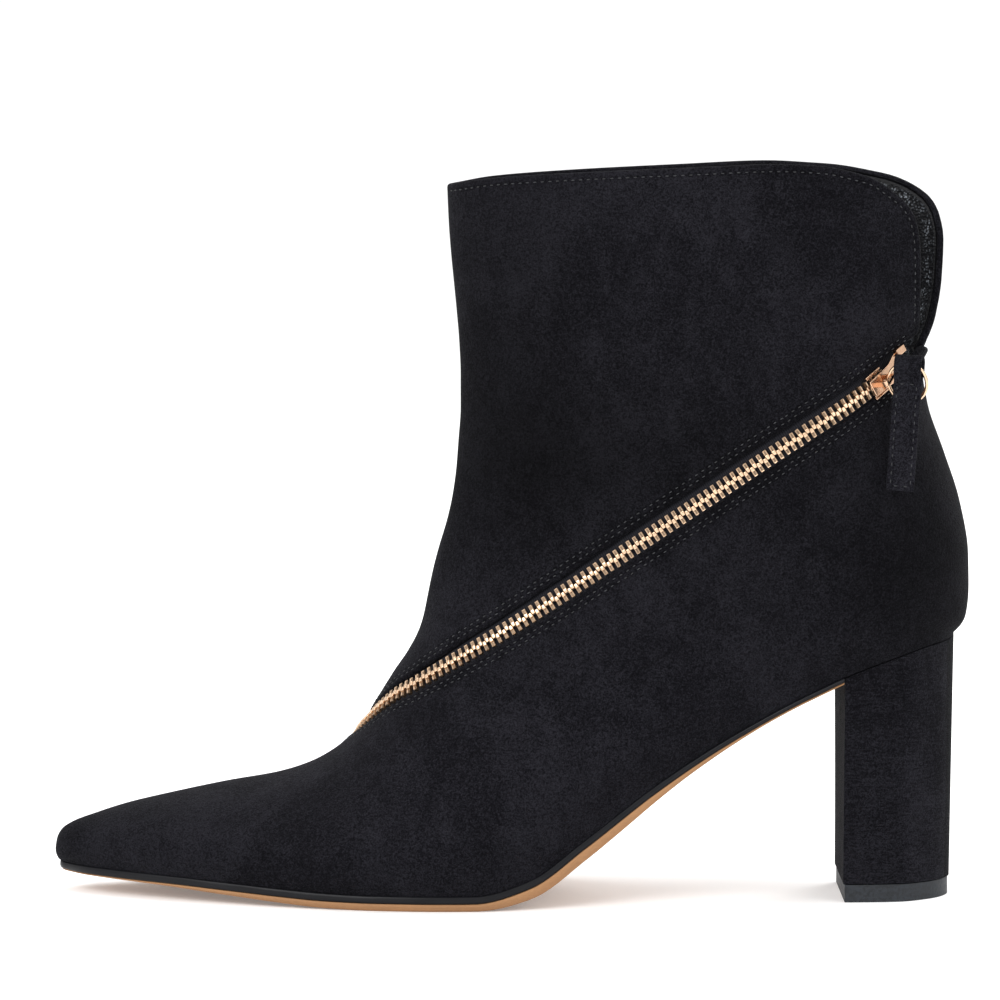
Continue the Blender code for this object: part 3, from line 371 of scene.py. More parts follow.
class Form:
    """The outside of the upper: station 0 to 1 is toe to heel, 1 to 2 heel to collar.

    Around runs from -1 at the lateral feather or back line, over 0 at the ridge, to 1 on the
    medial side.
    """

    HALVINGS = 26

    def __init__(self):
        self.nose_x = float(x_at(FOOT_ROWS[0].bottom_x))
        self.heel_x = float(x_at(FOOT_ROWS[-1].bottom_x))
        self.feather_x = float(x_at(OUTLINE_ROWS[0].along))
        foot = self.station_of(x_at(column(FOOT_ROWS, "bottom_x")))
        shaft = 1 + (np.arange(len(SHAFT_ROWS)) + 1) / len(SHAFT_ROWS)
        stations = np.concatenate((foot, shaft))
        seat_z = HEEL_HEIGHT * PER_CENT
        back = np.concatenate(([self.heel_x], x_at(column(SHAFT_ROWS, "bottom_x"))))
        low = np.concatenate((column(FOOT_ROWS, "bottom_z") * seat_z, z_at(column(SHAFT_ROWS, "bottom_z"))))
        tops = np.concatenate((column(FOOT_ROWS, "bottom_x") + column(FOOT_ROWS, "lean"),
                               column(SHAFT_ROWS, "top_x")))
        ridge = np.concatenate((half_ball(column(FOOT_ROWS, "ridge_y")), np.zeros(len(SHAFT_ROWS))))
        self.back_x = Curve(np.concatenate((foot[-1:], shaft)), back)
        self.bottom_z = Curve(stations, low)
        self.top_x = Curve(stations, x_at(tops))
        self.top_z = Curve(stations, z_at(joined("top_z")))
        self.lateral = Curve(stations, half_ball(joined("lateral", "belly")))
        self.medial = Curve(stations, half_ball(joined("medial", "belly")))
        self.peak = Curve(stations, joined("peak"))
        self.ridge_y = Curve(stations, ridge)
        bottom, top = self.side_line(stations)
        length = np.linalg.norm(top - bottom, axis=-1)
        self.crown = Curve(stations, (1 - joined("belly_at") * PER_CENT) * length)
        places = x_at(column(OUTLINE_ROWS, "along"))
        self.lateral_square = Curve(places, half_ball(column(OUTLINE_ROWS, "lateral")) ** 2)
        self.medial_square = Curve(places, half_ball(column(OUTLINE_ROWS, "medial")) ** 2)
        self.centre = Curve(places, half_ball(column(OUTLINE_ROWS, "centre")))

    def station_of(self, x):
        share = np.clip((np.asarray(x, dtype=float) - self.nose_x) / (self.heel_x - self.nose_x), 0.0, 1.0)
        return np.arccos(1 - 2 * share) / math.pi

    def bottom_x(self, station):
        share = 0.5 * (1 - np.cos(math.pi * np.minimum(station, 1.0)))
        on_foot = self.nose_x + share * (self.heel_x - self.nose_x)
        return np.where(station > 1, self.back_x(station), on_foot)

    def foot_width(self, x, side):
        square = np.where(side < 0, self.lateral_square(x), self.medial_square(x))
        return np.sqrt(np.maximum(square, 0.0))

    def floor_z(self, x):
        return self.bottom_z(self.station_of(x))

    def side_line(self, station):
        bottom = np.stack((self.bottom_x(station), self.bottom_z(station)), axis=-1)
        top = np.stack((self.top_x(station), self.top_z(station)), axis=-1)
        return bottom, top

    def belly_level(self, station):
        bottom, top = self.side_line(station)
        length = np.maximum(np.linalg.norm(top - bottom, axis=-1), MM)
        return np.clip(1 - self.crown(station) / length, LOWEST_BELLY, HIGHEST_BELLY)

    def point(self, station, around):
        station, around = np.broadcast_arrays(np.asarray(station, dtype=float),
                                              np.asarray(around, dtype=float))
        side = np.where(around < 0, -1.0, 1.0)
        share = 1 - np.abs(around)
        bottom, top = self.side_line(station)
        belly = np.where(side < 0, self.lateral(station), self.medial(station))
        closed = (station >= 1) | (bottom[..., 0] <= self.feather_x)
        foot = np.where(closed, 0.0, self.foot_width(bottom[..., 0], side))
        level = self.belly_level(station)
        turn = QUARTER_TURN * np.minimum(share / LOWER_SHARE, 1.0)
        rise = np.sin(QUARTER_TURN * np.clip((share - LOWER_SHARE) / (1 - LOWER_SHARE), 0.0, 1.0))
        low = share < LOWER_SHARE
        height = np.where(low, level * (1 - np.cos(turn)), level + (1 - level) * rise)
        crowned = belly * np.sqrt(np.maximum(0.0, 1 - rise ** self.peak(station)))
        reach = np.hypot(foot * np.cos(turn), belly * np.sin(turn))
        width = np.where(low, np.where(share >= 0, reach, 2 * foot - reach), crowned)
        middle = np.where(station < 1, self.centre(bottom[..., 0]), 0.0)
        axis = middle + height * (self.ridge_y(station) - middle)
        place = bottom + height[..., None] * (top - bottom)
        return np.stack((place[..., 0], axis + side * width, place[..., 1]), axis=-1)

    def slopes(self, station, around):
        along = self.point(station + NUDGE, around) - self.point(station - NUDGE, around)
        girth = self.point(station, around + NUDGE) - self.point(station, around - NUDGE)
        return along / (2 * NUDGE), girth / (2 * NUDGE)

    def normal(self, station, around):
        along, girth = self.slopes(station, around)
        return unit(np.cross(along, girth))

    def locate(self, x, z, side):
        """The station and around of the wall's points that side view shows at x and z."""
        x, z, side = np.broadcast_arrays(np.asarray(x, dtype=float), np.asarray(z, dtype=float),
                                         np.asarray(side, dtype=float))

        def off_line(station):
            bottom, top = self.side_line(station)
            run = top - bottom
            return run[..., 0] * (z - bottom[..., 1]) - run[..., 1] * (x - bottom[..., 0])

        low = np.full(x.shape, float(self.station_of(self.feather_x)))
        high = np.full(x.shape, 2.0)
        first = off_line(low)
        for _ in range(self.HALVINGS):
            middle = 0.5 * (low + high)
            same = off_line(middle) * first > 0
            low = np.where(same, middle, low)
            high = np.where(same, high, middle)
        bottom, top = self.side_line(low)
        run = top - bottom
        offset = np.stack((x, z), axis=-1) - bottom
        height = np.minimum(dot(offset, run) / dot(run, run), 1.0)
        level = self.belly_level(low)
        below = LOWER_SHARE * np.arccos(np.clip(1 - height / level, -1.0, 1.0)) / QUARTER_TURN
        rise = np.clip((height - level) / (1 - level), 0.0, 1.0)
        above = LOWER_SHARE + (1 - LOWER_SHARE) * np.arcsin(rise) / QUARTER_TURN
        share = np.where(height < level, below, above)
        return low, np.where(side == 0, 0.0, side * (1 - share))


Frame = namedtuple("Frame", "origin along across out")


class ZipRoute:
    """The middle of the zip on the upper, measured by its length from the front end."""

    SAMPLES = 400
    SIDE_SPOTS = 40
    CLOSING_STEPS = 6
    CHUNK = 2000

    def __init__(self, form):
        self.form = form
        beside = sorted(row for row in ZIP_ROWS if row.side < 0)
        line = Curve(column(beside, "x"), column(beside, "z"))
        x = np.linspace(beside[-1].x, beside[0].x, self.SIDE_SPOTS + 1)
        past = [row for row in ZIP_ROWS if row.side >= 0]
        xs = np.concatenate((x, column(past, "x")))
        zs = np.concatenate((line(x), column(past, "z")))
        sides = np.concatenate((np.full(len(x), -1.0), column(past, "side")))
        stations, arounds = form.locate(x_at(xs), z_at(zs), sides)
        self.station_at = Curve(arounds, stations)
        self.arounds = np.linspace(arounds[-1], arounds[0], self.SAMPLES + 1)
        points = form.point(self.station_at(self.arounds), self.arounds)
        self.lengths = lengths_along(points)
        self.length = float(self.lengths[-1])

    def spot(self, length):
        around = np.interp(np.clip(length, 0.0, self.length), self.lengths, self.arounds)
        return self.station_at(around), around

    def frame(self, length):
        length = np.asarray(length, dtype=float)
        nudge = 0.5 * MM
        before = self.form.point(*self.spot(length - nudge))
        after = self.form.point(*self.spot(length + nudge))
        station, around = self.spot(length)
        out = self.form.normal(station, around)
        along = unit(square_to(after - before, out))
        over = length - np.clip(length, 0.0, self.length)
        origin = self.form.point(station, around) + over[..., None] * along
        return Frame(origin, along, np.cross(out, along), out)

    def beside(self, length, across, depth):
        """Points on the wall beside the zip's middle, sunk by depth, and the wall's normals there."""
        length, across, depth = np.broadcast_arrays(np.asarray(length, dtype=float), across, depth)
        station, around = self.spot(length)
        mark = self.frame(length)
        goal = mark.origin + mark.across * across[..., None]
        for _ in range(self.CLOSING_STEPS):
            shift = goal - self.form.point(station, around)
            by_station, by_around = self.form.slopes(station, around)
            station_square = dot(by_station, by_station)
            around_square = dot(by_around, by_around)
            mixed = dot(by_station, by_around)
            station_part = dot(by_station, shift)
            around_part = dot(by_around, shift)
            spread = station_square * around_square - mixed ** 2
            station = station + (around_square * station_part - mixed * around_part) / spread
            around = around + (station_square * around_part - mixed * station_part) / spread
        normal = self.form.normal(station, around)
        return self.form.point(station, around) - depth[..., None] * normal, normal

    def offsets(self, points):
        """How far along and across the zip each point lies, and how far off it is."""
        lengths = np.linspace(0.0, self.length, self.SAMPLES)
        marks = self.frame(lengths)
        along = np.empty(len(points))
        across = np.empty(len(points))
        away = np.empty(len(points))
        for first in range(0, len(points), self.CHUNK):
            here = slice(first, first + self.CHUNK)
            part = points[here]
            square = ((part[:, None, :] - marks.origin[None, :, :]) ** 2).sum(-1)
            nearest = square.argmin(axis=1)
            offset = part - marks.origin[nearest]
            along[here] = lengths[nearest] + dot(offset, marks.along[nearest])
            across[here] = dot(offset, marks.across[nearest])
            away[here] = np.sqrt(square[np.arange(len(part)), nearest])
        return along, across, away


FORM = Form()
ROUTE = ZipRoute(FORM)


# Sizes and colours that a user would change

def size(label, description, default):
    """A length, with its default in millimetres."""
    return FloatProperty(name=label, description=description, default=default * MM, subtype="DISTANCE",
                         unit="LENGTH")


def tint(label, description, default):
    return FloatVectorProperty(name=label, description=description, default=default, subtype="COLOR",
                               min=0.0, max=1.0)


class BootieLooks(PropertyGroup):
    """Sizes and colours of the bootie's finish."""

    edge_radius: size("Edge radius", "Roundness of the turned suede edges", 1.0)
    stitch_length: size("Stitch length", "Length of one stitch", 0.95)
    stitch_gap: size("Stitch gap", "Gap between two stitches", 1.25)
    thread_radius: size("Thread radius", "Half the thickness of the thread", 0.17)
    suede_dark: tint("Suede, dark", "Nap brushed towards the light's far side", (0.0020, 0.0019, 0.0029))
    suede_light: tint("Suede, light", "Nap brushed towards the light", (0.0158, 0.0154, 0.0200))
    thread: tint("Thread", "Colour of the stitches", (0.0185, 0.0195, 0.024))
    tan: tint("Tan", "Colour of the outsole", (0.347, 0.179, 0.081))
    gold: tint("Pale gold", "Colour of the zip's teeth and ring", (0.80, 0.565, 0.380))
    rose_gold: tint("Rose gold", "Colour of the slider", (0.74, 0.475, 0.318))
    lift_grey: tint("Lift", "Colour of the heel's lift", (0.015, 0.0175, 0.0215))
    floor: tint("Floor", "Colour of the studio floor", (0.92, 0.92, 0.92))


# Finishes

# Layers of noise in the finishes, some sharpened by a soft step from low to high
NOISE_ROWS = table("name scale detail rough twist low high", (
    ("suede clouds", 26.0, 4.0, 0.55, 0.9, 0.36, 0.66),
    ("suede strokes", (95.0, 95.0, 60.0), 3.0, 0.6, 1.6, 0.38, 0.64),
    ("suede specks", 1250.0, 2.0, 0.6, 0.0, 0.36, 0.64),
    ("suede fibres", 2600.0, 2.0, 0.7, 0.0, 0.36, 0.64),
    ("suede threads", (300.0, 300.0, 2300.0), 1.0, 0.5, 0.0, 0.35, 0.65),
    ("lining wear", 60.0, 3.0),
    ("lining patches", 420.0, 2.0, 0.5, 0.0, 0.36, 0.66),
    ("gold marks", (900.0, 900.0, 2600.0), 3.0, 0.6),
    ("gold patches", 320.0, 2.0),
    ("thread plies", 2400.0, 1.0),
    ("thread wear", 260.0, 2.0, 0.5, 0.0, 0.35, 0.68),
    ("tape lint", 1500.0, 2.0),
    ("edge waves", (120.0, 120.0, 500.0), 3.0),
    ("edge dust", 900.0, 2.0),
    ("tan lines", (25.0, 25.0, 2600.0), 2.0),
    ("tan grain", 700.0, 3.0, 0.6),
    ("tan patches", 22.0, 3.0, 0.6),
    ("lift scuffs", (60.0, 60.0, 700.0), 4.0, 0.7, 0.6, 0.56, 0.72),
    ("lift grain", 1000.0, 3.0, 0.65, 0.0, 0.34, 0.66),
    ("sock grain", 1100.0, 3.0, 0.6),
    ("sock wear", 35.0, 3.0),
    ("floor clouds", 3.0, 2.0),
), defaults=(0.5, 0.0, None, None))
NOISE_LAYERS = {row.name: row for row in NOISE_ROWS}


class Value:
    """A node's output socket that can stand in Python expressions."""

    def __init__(self, finish, socket):
        self.finish = finish
        self.socket = socket

    def __add__(self, other):
        return self.finish.maths("ADD", self, other)

    __radd__ = __add__

    def __sub__(self, other):
        return self.finish.maths("SUBTRACT", self, other)

    def __rsub__(self, other):
        return self.finish.maths("SUBTRACT", other, self)

    def __mul__(self, other):
        return self.finish.maths("MULTIPLY", self, other)

    __rmul__ = __mul__

    def __abs__(self):
        return self.finish.maths("ABSOLUTE", self, 0.0)

    def sine(self):
        return self.finish.maths("SINE", self, 0.0)

    def soft(self, low, high, start=0.0, end=1.0):
        """A soft step from start at low to end at high."""
        return self.finish.node("ShaderNodeMapRange", {"interpolation_type": "SMOOTHSTEP"}, "Result",
                                {"Value": self, "From Min": low, "From Max": high,
                                 "To Min": start, "To Max": end})

    def band(self, middle, reach):
        """One at the middle, with a soft fall to nothing at the reach on both sides."""
        return abs(self - middle).soft(0.0, reach, 1.0, 0.0)


class Finish:
    """A material built from nodes on one Principled shader."""

    def __init__(self, name, constants):
        self.material = bpy.data.materials.new(name)
        self.material.use_nodes = True
        self.tree = self.material.node_tree
        self.shader = self.tree.nodes["Principled BSDF"]
        for socket, value in constants.items():
            self.shader.inputs[socket].default_value = value
        self.place = self.node("ShaderNodeTexCoord", {}, "Object", {})
        self.layers = {}

    def feed(self, socket, value):
        if isinstance(value, Value):
            self.tree.links.new(value.socket, socket)
        else:
            socket.default_value = value

    def node(self, kind, settings, output, inputs):
        node = self.tree.nodes.new(kind)
        for key, value in settings.items():
            setattr(node, key, value)
        for key, value in inputs.items():
            self.feed(node.inputs[key], value)
        return Value(self, node.outputs[output])

    def maths(self, operation, first, second):
        return self.node("ShaderNodeMath", {"operation": operation}, 0, {0: first, 1: second})

    def stretched(self, scale):
        return self.node("ShaderNodeMapping", {}, "Vector", {"Vector": self.place, "Scale": scale})

    def layer(self, name):
        """A layer of noise from the table, stretched where its scale has three parts."""
        if name in self.layers:
            return self.layers[name]
        row = NOISE_LAYERS[name]
        stretch = isinstance(row.scale, tuple)
        place = self.stretched(row.scale) if stretch else self.place
        noise = self.node("ShaderNodeTexNoise", {}, "Fac",
                          {"Vector": place, "Scale": 1.0 if stretch else row.scale, "Detail": row.detail,
                           "Roughness": row.rough, "Distortion": row.twist})
        self.layers[name] = noise if row.low is None else noise.soft(row.low, row.high)
        return self.layers[name]

    def mixed(self, weights):
        """A sum of layers of noise, each with its weight."""
        return sum(self.layer(name) * weight for name, weight in weights.items())

    def attribute(self, name):
        return self.node("ShaderNodeAttribute", {"attribute_name": name}, "Fac", {})

    def blend(self, share, first, second):
        """A colour between two colours."""
        return self.node("ShaderNodeMix", {"data_type": "RGBA"}, 2, {0: share, 6: first, 7: second})

    def bump(self, height, distance, strength=1.0):
        return self.node("ShaderNodeBump", {}, "Normal",
                         {"Height": height, "Distance": distance, "Strength": strength})

    def connect(self, **inputs):
        for key, value in inputs.items():
            self.feed(self.shader.inputs[key.replace("_", " ")], value)
        return self.material


def rgba(colour):
    return (colour[0], colour[1], colour[2], 1.0)


def dimmed(colour, share):
    return rgba([part * share for part in colour])


# Kinds of plain finishes from weighted layers. Dark and light are the ends of the colour, as shares of it
# or as colours. Tone mixes them, with a soft step where there is one. The relief's depth is in millimetres.
KIND_ROWS = table("name settings dark light tone step rough relief depth strength", (
    ("gold", {"Metallic": 1.0}, 0.82, 1.0, {"gold patches": 1.0}, (0.3, 0.75),
     {"gold marks": 0.10, "gold patches": 0.06}, {"gold marks": 1.0}, 0.02, 0.4),
    ("thread", {"Sheen Weight": 0.1}, 0.22, 1.0, {"thread wear": 0.7, "thread plies": 0.3}, None,
     {"thread plies": 0.2}, {"thread plies": 1.0}, 0.05, 0.6),
    ("edge", {"Coat Roughness": 0.12, "Coat Weight": 0.05, "Specular IOR Level": 0.12},
     (0.004, 0.004, 0.005), (0.010, 0.010, 0.012), {"edge waves": 1.0}, None,
     {"edge dust": 0.2}, {"edge waves": 1.0, "edge dust": 0.1}, 0.25, 0.5),
    ("tan", {"Specular IOR Level": 0.25}, 0.72, 1.0,
     {"tan patches": 0.5, "tan grain": 0.3, "tan lines": 0.2}, (0.25, 0.75),
     {"tan grain": 0.22}, {"tan grain": 0.6, "tan lines": 0.5}, 0.08, 0.6),
    ("lift", {"Specular IOR Level": 0.3}, 0.55, 2.1, {"lift scuffs": 0.5, "lift grain": 0.55}, None,
     {"lift grain": 0.2, "lift scuffs": 0.2}, {"lift grain": 1.0, "lift scuffs": -0.6}, 0.08, 0.6),
    ("sock", {"Specular IOR Level": 0.4}, (0.010, 0.010, 0.011), (0.022, 0.022, 0.024),
     {"sock wear": 1.0}, None, {"sock wear": 0.2}, {"sock grain": 1.0}, 0.10, 0.5),
))
KINDS = {row.name: row for row in KIND_ROWS}

# Plain finishes with their kind and least roughness
PLAIN_ROWS = table("name kind rough", (
    ("tooth leg", "gold", 0.28), ("tooth dimple", "gold", 0.42), ("tooth head", "gold", 0.22),
    ("slider gold", "gold", 0.13), ("ring gold", "gold", 0.15), ("sewing thread", "thread", 0.55),
    ("inked edge", "edge", 0.26), ("tan outsole", "tan", 0.46), ("heel rubber", "lift", 0.48),
    ("insole sock", "sock", 0.45),
))
PLAIN_FINISHES = {row.name: row for row in PLAIN_ROWS}


def plain_finish(name, colour=None):
    """A finish from the tables, in a colour where its kind asks for one."""
    row = PLAIN_FINISHES[name]
    kind = KINDS[row.kind]
    finish = Finish(name, kind.settings)
    tone = finish.mixed(kind.tone)
    if kind.step:
        tone = tone.soft(*kind.step)
    ends = [rgba(end) if isinstance(end, tuple) else dimmed(colour, end) for end in (kind.dark, kind.light)]
    relief = finish.mixed(kind.relief)
    return finish.connect(Base_Color=finish.blend(tone, *ends),
                          Roughness=finish.mixed(kind.rough) + row.rough,
                          Normal=finish.bump(relief, kind.depth * MM, kind.strength))


# Suede: weights of its layers, and what the threads of the woven cover add
SUEDE_SETTINGS = {"Sheen Weight": 0.008, "Sheen Roughness": 0.5, "Specular IOR Level": 0.06,
                  "Sheen Tint": (0.75, 0.78, 0.85, 1.0)}
SUEDE_TONE = {"suede clouds": 0.25, "suede strokes": 0.13, "suede specks": 0.28, "suede fibres": 0.58}
SUEDE_TONE_BASE = -0.19
SUEDE_RELIEF = {"suede fibres": 0.6, "suede specks": 0.9, "suede strokes": 0.5}
SUEDE_DEPTH = 0.17 * MM
SUEDE_STRENGTH = 0.85
SUEDE_ROUGH = 0.98
SUEDE_POLISH = 0.14
WOVEN_TONE = {"suede threads": 0.20}
WOVEN_TONE_BASE = -0.12
WOVEN_RELIEF = {"suede threads": 0.8}
# How far a seam presses the suede down beside the zip and at the rim, in millimetres, how deep, and how much
# painted shade darkens the pressed groove
PRESS_REACH = 0.8
RIM_PRESS_REACH = 0.9
PRESS_DEPTH = 2.0
PRESS_PAINTED_SHADE = 0.14
# Painted shade on the suede beside the zip: how dark, where it fades across the zip and where it starts along
# it
ZIP_PAINTED_SHADE = 0.14
ZIP_PAINTED_SHADE_FADE = (3.5, 8.5)
ZIP_SHADE_START = 3.0
# Share of the suede's colour that the zones of painted light and shade lift or lower
PAINTED_LIGHT_BASE = 0.84


def suede_finish(name, looks, seams=False, woven=False):
    """Napped suede with brushed clouds and a fibrous pile; on the upper, pressed seams and the suede beside
    the zip darkened with painted shade; on the upper and the heel, painted light and shade from an attribute.
    """
    finish = Finish(name, SUEDE_SETTINGS)
    light = finish.mixed(SUEDE_TONE) + SUEDE_TONE_BASE
    height = finish.mixed(SUEDE_RELIEF)
    shade = 1.0
    if woven:
        light = light + finish.mixed(WOVEN_TONE) + WOVEN_TONE_BASE
        height = height + finish.mixed(WOVEN_RELIEF)
    if seams:
        across = finish.attribute("zip_across")
        rim = finish.attribute("rim_off")
        beside = finish.attribute("zip_along").soft(0.0, ZIP_SHADE_START)
        press = sum(across.band(row, PRESS_REACH) for row in STITCH_ROWS)
        press = press * beside + rim.band(RIM_STITCH, RIM_PRESS_REACH)
        height = height - press * PRESS_DEPTH
        # Pressed seams and the suede beside the zip are darkened with painted shade
        light = light - press * PRESS_PAINTED_SHADE - beside * abs(across).soft(*ZIP_PAINTED_SHADE_FADE, ZIP_PAINTED_SHADE, 0.0)
    # On the upper and the heel, an attribute adds painted light and shade to the suede's colour
    if seams or woven:
        shade = finish.attribute("nap") + PAINTED_LIGHT_BASE
    colour = finish.blend(light.soft(0.0, 1.0), rgba(looks.suede_dark), rgba(looks.suede_light))
    colour = finish.blend(shade, BLACK, colour)
    return finish.connect(Base_Color=colour, Roughness=SUEDE_ROUGH - light * SUEDE_POLISH,
                          Normal=finish.bump(height, SUEDE_DEPTH, SUEDE_STRENGTH))


# Lining: its pebbles, the strip of painted highlights beside the rim of the back facing, and the binding's
# groove
LINING_GLOSS = 0.16
LINING_DARK = (0.003, 0.003, 0.004, 1.0)
LINING_LIGHT = (0.007, 0.007, 0.008, 1.0)
LINING_ROUGH = 0.34
LINING_WEAR_ROUGH = 0.2
LINING_DEPTH = 0.26 * MM
LINING_STRENGTH = 0.9
PEBBLE_SCALE = 1500.0
PEBBLE_SMOOTHNESS = 0.4
PEBBLE_TOPS = (0.42, 0.80)
PAINTED_HIGHLIGHT_FADE = (0.3, 2.4)
PAINTED_HIGHLIGHT_SHARE = 0.9
PAINTED_HIGHLIGHT = (0.205, 0.225, 0.250, 1.0)
FACING_START = (0.085, 0.105)
BINDING_REACH = 0.7
BINDING_DEPTH = 2.0


def lining_finish():
    """Black pebbled leather of the inside and the back facing, with painted highlights and a binding beside
    the rim.
    """
    finish = Finish("pebbled lining", {"Specular IOR Level": LINING_GLOSS})
    pebbles = finish.node("ShaderNodeTexVoronoi", {"feature": "SMOOTH_F1"}, "Distance",
                          {"Vector": finish.place, "Scale": PEBBLE_SCALE, "Smoothness": PEBBLE_SMOOTHNESS})
    worn = finish.layer("lining wear")
    rim = finish.attribute("rim_off")
    painted_highlight_band = abs(rim - FACING_PAINTED_HIGHLIGHT).soft(*PAINTED_HIGHLIGHT_FADE, 1.0, 0.0)
    behind = finish.node("ShaderNodeSeparateXYZ", {}, "X", {"Vector": finish.place}).soft(*FACING_START)
    # Painted highlights on the pebble tops, in patches, in the strip beside the rim and only on the back
    # facing
    tops = (1.0 - pebbles).soft(*PEBBLE_TOPS) * finish.layer("lining patches") * painted_highlight_band * behind
    bound = rim.band(FACING_BINDING, BINDING_REACH)
    colour = finish.blend(worn, LINING_DARK, LINING_LIGHT)
    colour = finish.blend(tops * PAINTED_HIGHLIGHT_SHARE, colour, PAINTED_HIGHLIGHT)
    relief = 1.0 - pebbles - bound * BINDING_DEPTH
    return finish.connect(Base_Color=colour, Roughness=LINING_ROUGH + worn * LINING_WEAR_ROUGH,
                          Normal=finish.bump(relief, LINING_DEPTH, LINING_STRENGTH))


# Zip tape: colours, and the shares of its ribs and its lint
TAPE_GLOSS = 0.15
TAPE_DARK = (0.002, 0.002, 0.003, 1.0)
TAPE_LIGHT = (0.017, 0.017, 0.022, 1.0)
TAPE_RIB_TONE = 0.6
TAPE_LINT_TONE = 0.4
TAPE_ROUGH = 0.80
TAPE_LINT_ROUGH = 0.15
TAPE_LINT_RELIEF = 0.5
TAPE_DEPTH = 0.08 * MM
TAPE_STRENGTH = 0.7


def tape_finish():
    """Woven zip tape, ribbed along its own length."""
    finish = Finish("zip tape", {"Specular IOR Level": TAPE_GLOSS})
    sheet = finish.node("ShaderNodeTexCoord", {}, "UV", {})
    spread = finish.node("ShaderNodeSeparateXYZ", {}, "Y", {"Vector": sheet})
    ribs = (spread * TAPE_RIBS).sine() * 0.5 + 0.5
    lint = finish.layer("tape lint")
    colour = finish.blend(ribs * TAPE_RIB_TONE + lint * TAPE_LINT_TONE, TAPE_DARK, TAPE_LIGHT)
    return finish.connect(Base_Color=colour, Roughness=TAPE_ROUGH + lint * TAPE_LINT_ROUGH,
                          Normal=finish.bump(ribs + lint * TAPE_LINT_RELIEF, TAPE_DEPTH, TAPE_STRENGTH))


# Modelling helpers

def activate(piece):
    bpy.ops.object.select_all(action="DESELECT")
    piece.select_set(True)
    bpy.context.view_layer.objects.active = piece


def settle(piece, name, sharp=40.0, merge=POLE_MERGE, fill=False):
    """Merge doubles, close holes, point faces out and smooth a finished mesh."""
    piece.name = name
    piece.data.name = name
    activate(piece)
    bpy.ops.object.mode_set(mode="EDIT")
    bpy.ops.mesh.select_all(action="SELECT")
    bpy.ops.mesh.remove_doubles(threshold=merge)
    if fill:
        bpy.ops.mesh.fill_holes(sides=0)
    bpy.ops.mesh.select_all(action="SELECT")
    bpy.ops.mesh.normals_make_consistent(inside=False)
    bpy.ops.object.mode_set(mode="OBJECT")
    bpy.ops.object.shade_smooth_by_angle(angle=math.radians(sharp))
    return piece


def primitive(add, **settings):
    """A new primitive, selected and active."""
    bpy.ops.object.select_all(action="DESELECT")
    add(**settings)
    return bpy.context.active_object


def corners_of(piece):
    return np.array([vertex.co[:] for vertex in piece.data.vertices])


def move_corners(piece, points):
    piece.data.vertices.foreach_set("co", np.ascontiguousarray(points, dtype=np.float32).ravel())
    piece.data.update()


def set_in(points, origin, first, second, third):
    """Points in three directions of their own, set at an origin."""
    return origin + points[:, 0:1] * first + points[:, 1:2] * second + points[:, 2:3] * third


def linked(name, data):
    """A new object in the scene."""
    thing = bpy.data.objects.new(name, data)
    bpy.context.scene.collection.objects.link(thing)
    return thing


def grid_piece(points):
    """A grid primitive whose corners are moved to rows of points."""
    rows, columns = points.shape[:2]
    piece = primitive(bpy.ops.mesh.primitive_grid_add, x_subdivisions=columns - 1, y_subdivisions=rows - 1,
                      size=1.0, calc_uvs=True, location=(0.0, 0.0, 0.0))
    if len(piece.data.vertices) != rows * columns:
        raise RuntimeError("the grid primitive has another number of corners")
    move_corners(piece, points)
    return piece


def tube_piece(rings):
    """A closed tube from rings of points: the last column repeats the first one."""
    return grid_piece(np.concatenate((rings, rings[:, :1]), axis=1))


def mesh_piece(name, points, faces):
    mesh = bpy.data.meshes.new(name)
    mesh.from_pydata([tuple(point) for point in points], [], faces)
    mesh.update()
    return linked(name, mesh)


def apply_bevel(piece, width, segments, angle=math.radians(35)):
    activate(piece)
    bevel = piece.modifiers.new("rounded", "BEVEL")
    bevel.width = width
    bevel.segments = segments
    bevel.limit_method = "ANGLE"
    bevel.angle_limit = angle
    bevel.harden_normals = False
    bpy.ops.object.modifier_apply(modifier=bevel.name)


def template(piece):
    """Points, faces and finish numbers of a small piece that is modelled once and then removed."""
    mesh = piece.data
    points = corners_of(piece)
    faces = [list(face.vertices) for face in mesh.polygons]
    marks = [face.material_index for face in mesh.polygons]
    bpy.data.objects.remove(piece, do_unlink=True)
    bpy.data.meshes.remove(mesh)
    return points, faces, marks


def copies(name, shape, origins, first, second, third):
    """One mesh of many copies of a shape, each set in its own three directions."""
    points, faces, marks = shape
    placed = (origins[:, None, :] + points[None, :, 0:1] * first[:, None, :]
              + points[None, :, 1:2] * second[:, None, :] + points[None, :, 2:3] * third[:, None, :])
    count = len(points)
    every = [[i + number * count for i in face] for number in range(len(origins)) for face in faces]
    piece = mesh_piece(name, placed.reshape(-1, 3), every)
    piece.data.polygons.foreach_set("material_index", np.tile(marks, len(origins)).astype(np.int32))
    return piece


def dress(piece, material, body, node=None):
    """Give a piece its finish, its body and the node that it stands for."""
    if isinstance(material, (list, tuple)):
        for one in material:
            piece.data.materials.append(one)
    else:
        piece.data.materials.clear()
        piece.data.materials.append(material)
    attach(piece, body)
    if node:
        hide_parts(node)


# Upper

def rim_line(notch_rows):
    """The rim in side view as a smooth line from the front of the collar to the notch's floor."""
    rows = COLLAR_ROWS + notch_rows
    corners = np.stack((x_at(column(rows, "x")), z_at(column(rows, "z"))), axis=-1)
    places = lengths_along(corners)
    fine = np.linspace(0.0, places[-1], RIM_SPOTS)
    line = np.stack((Curve(places, corners[:, 0])(fine), Curve(places, corners[:, 1])(fine)), axis=-1)
    floor = np.array([[x_at(NOTCH_FLOOR_X), z_at(NOTCH_FLOOR_Z)]])
    return line, floor


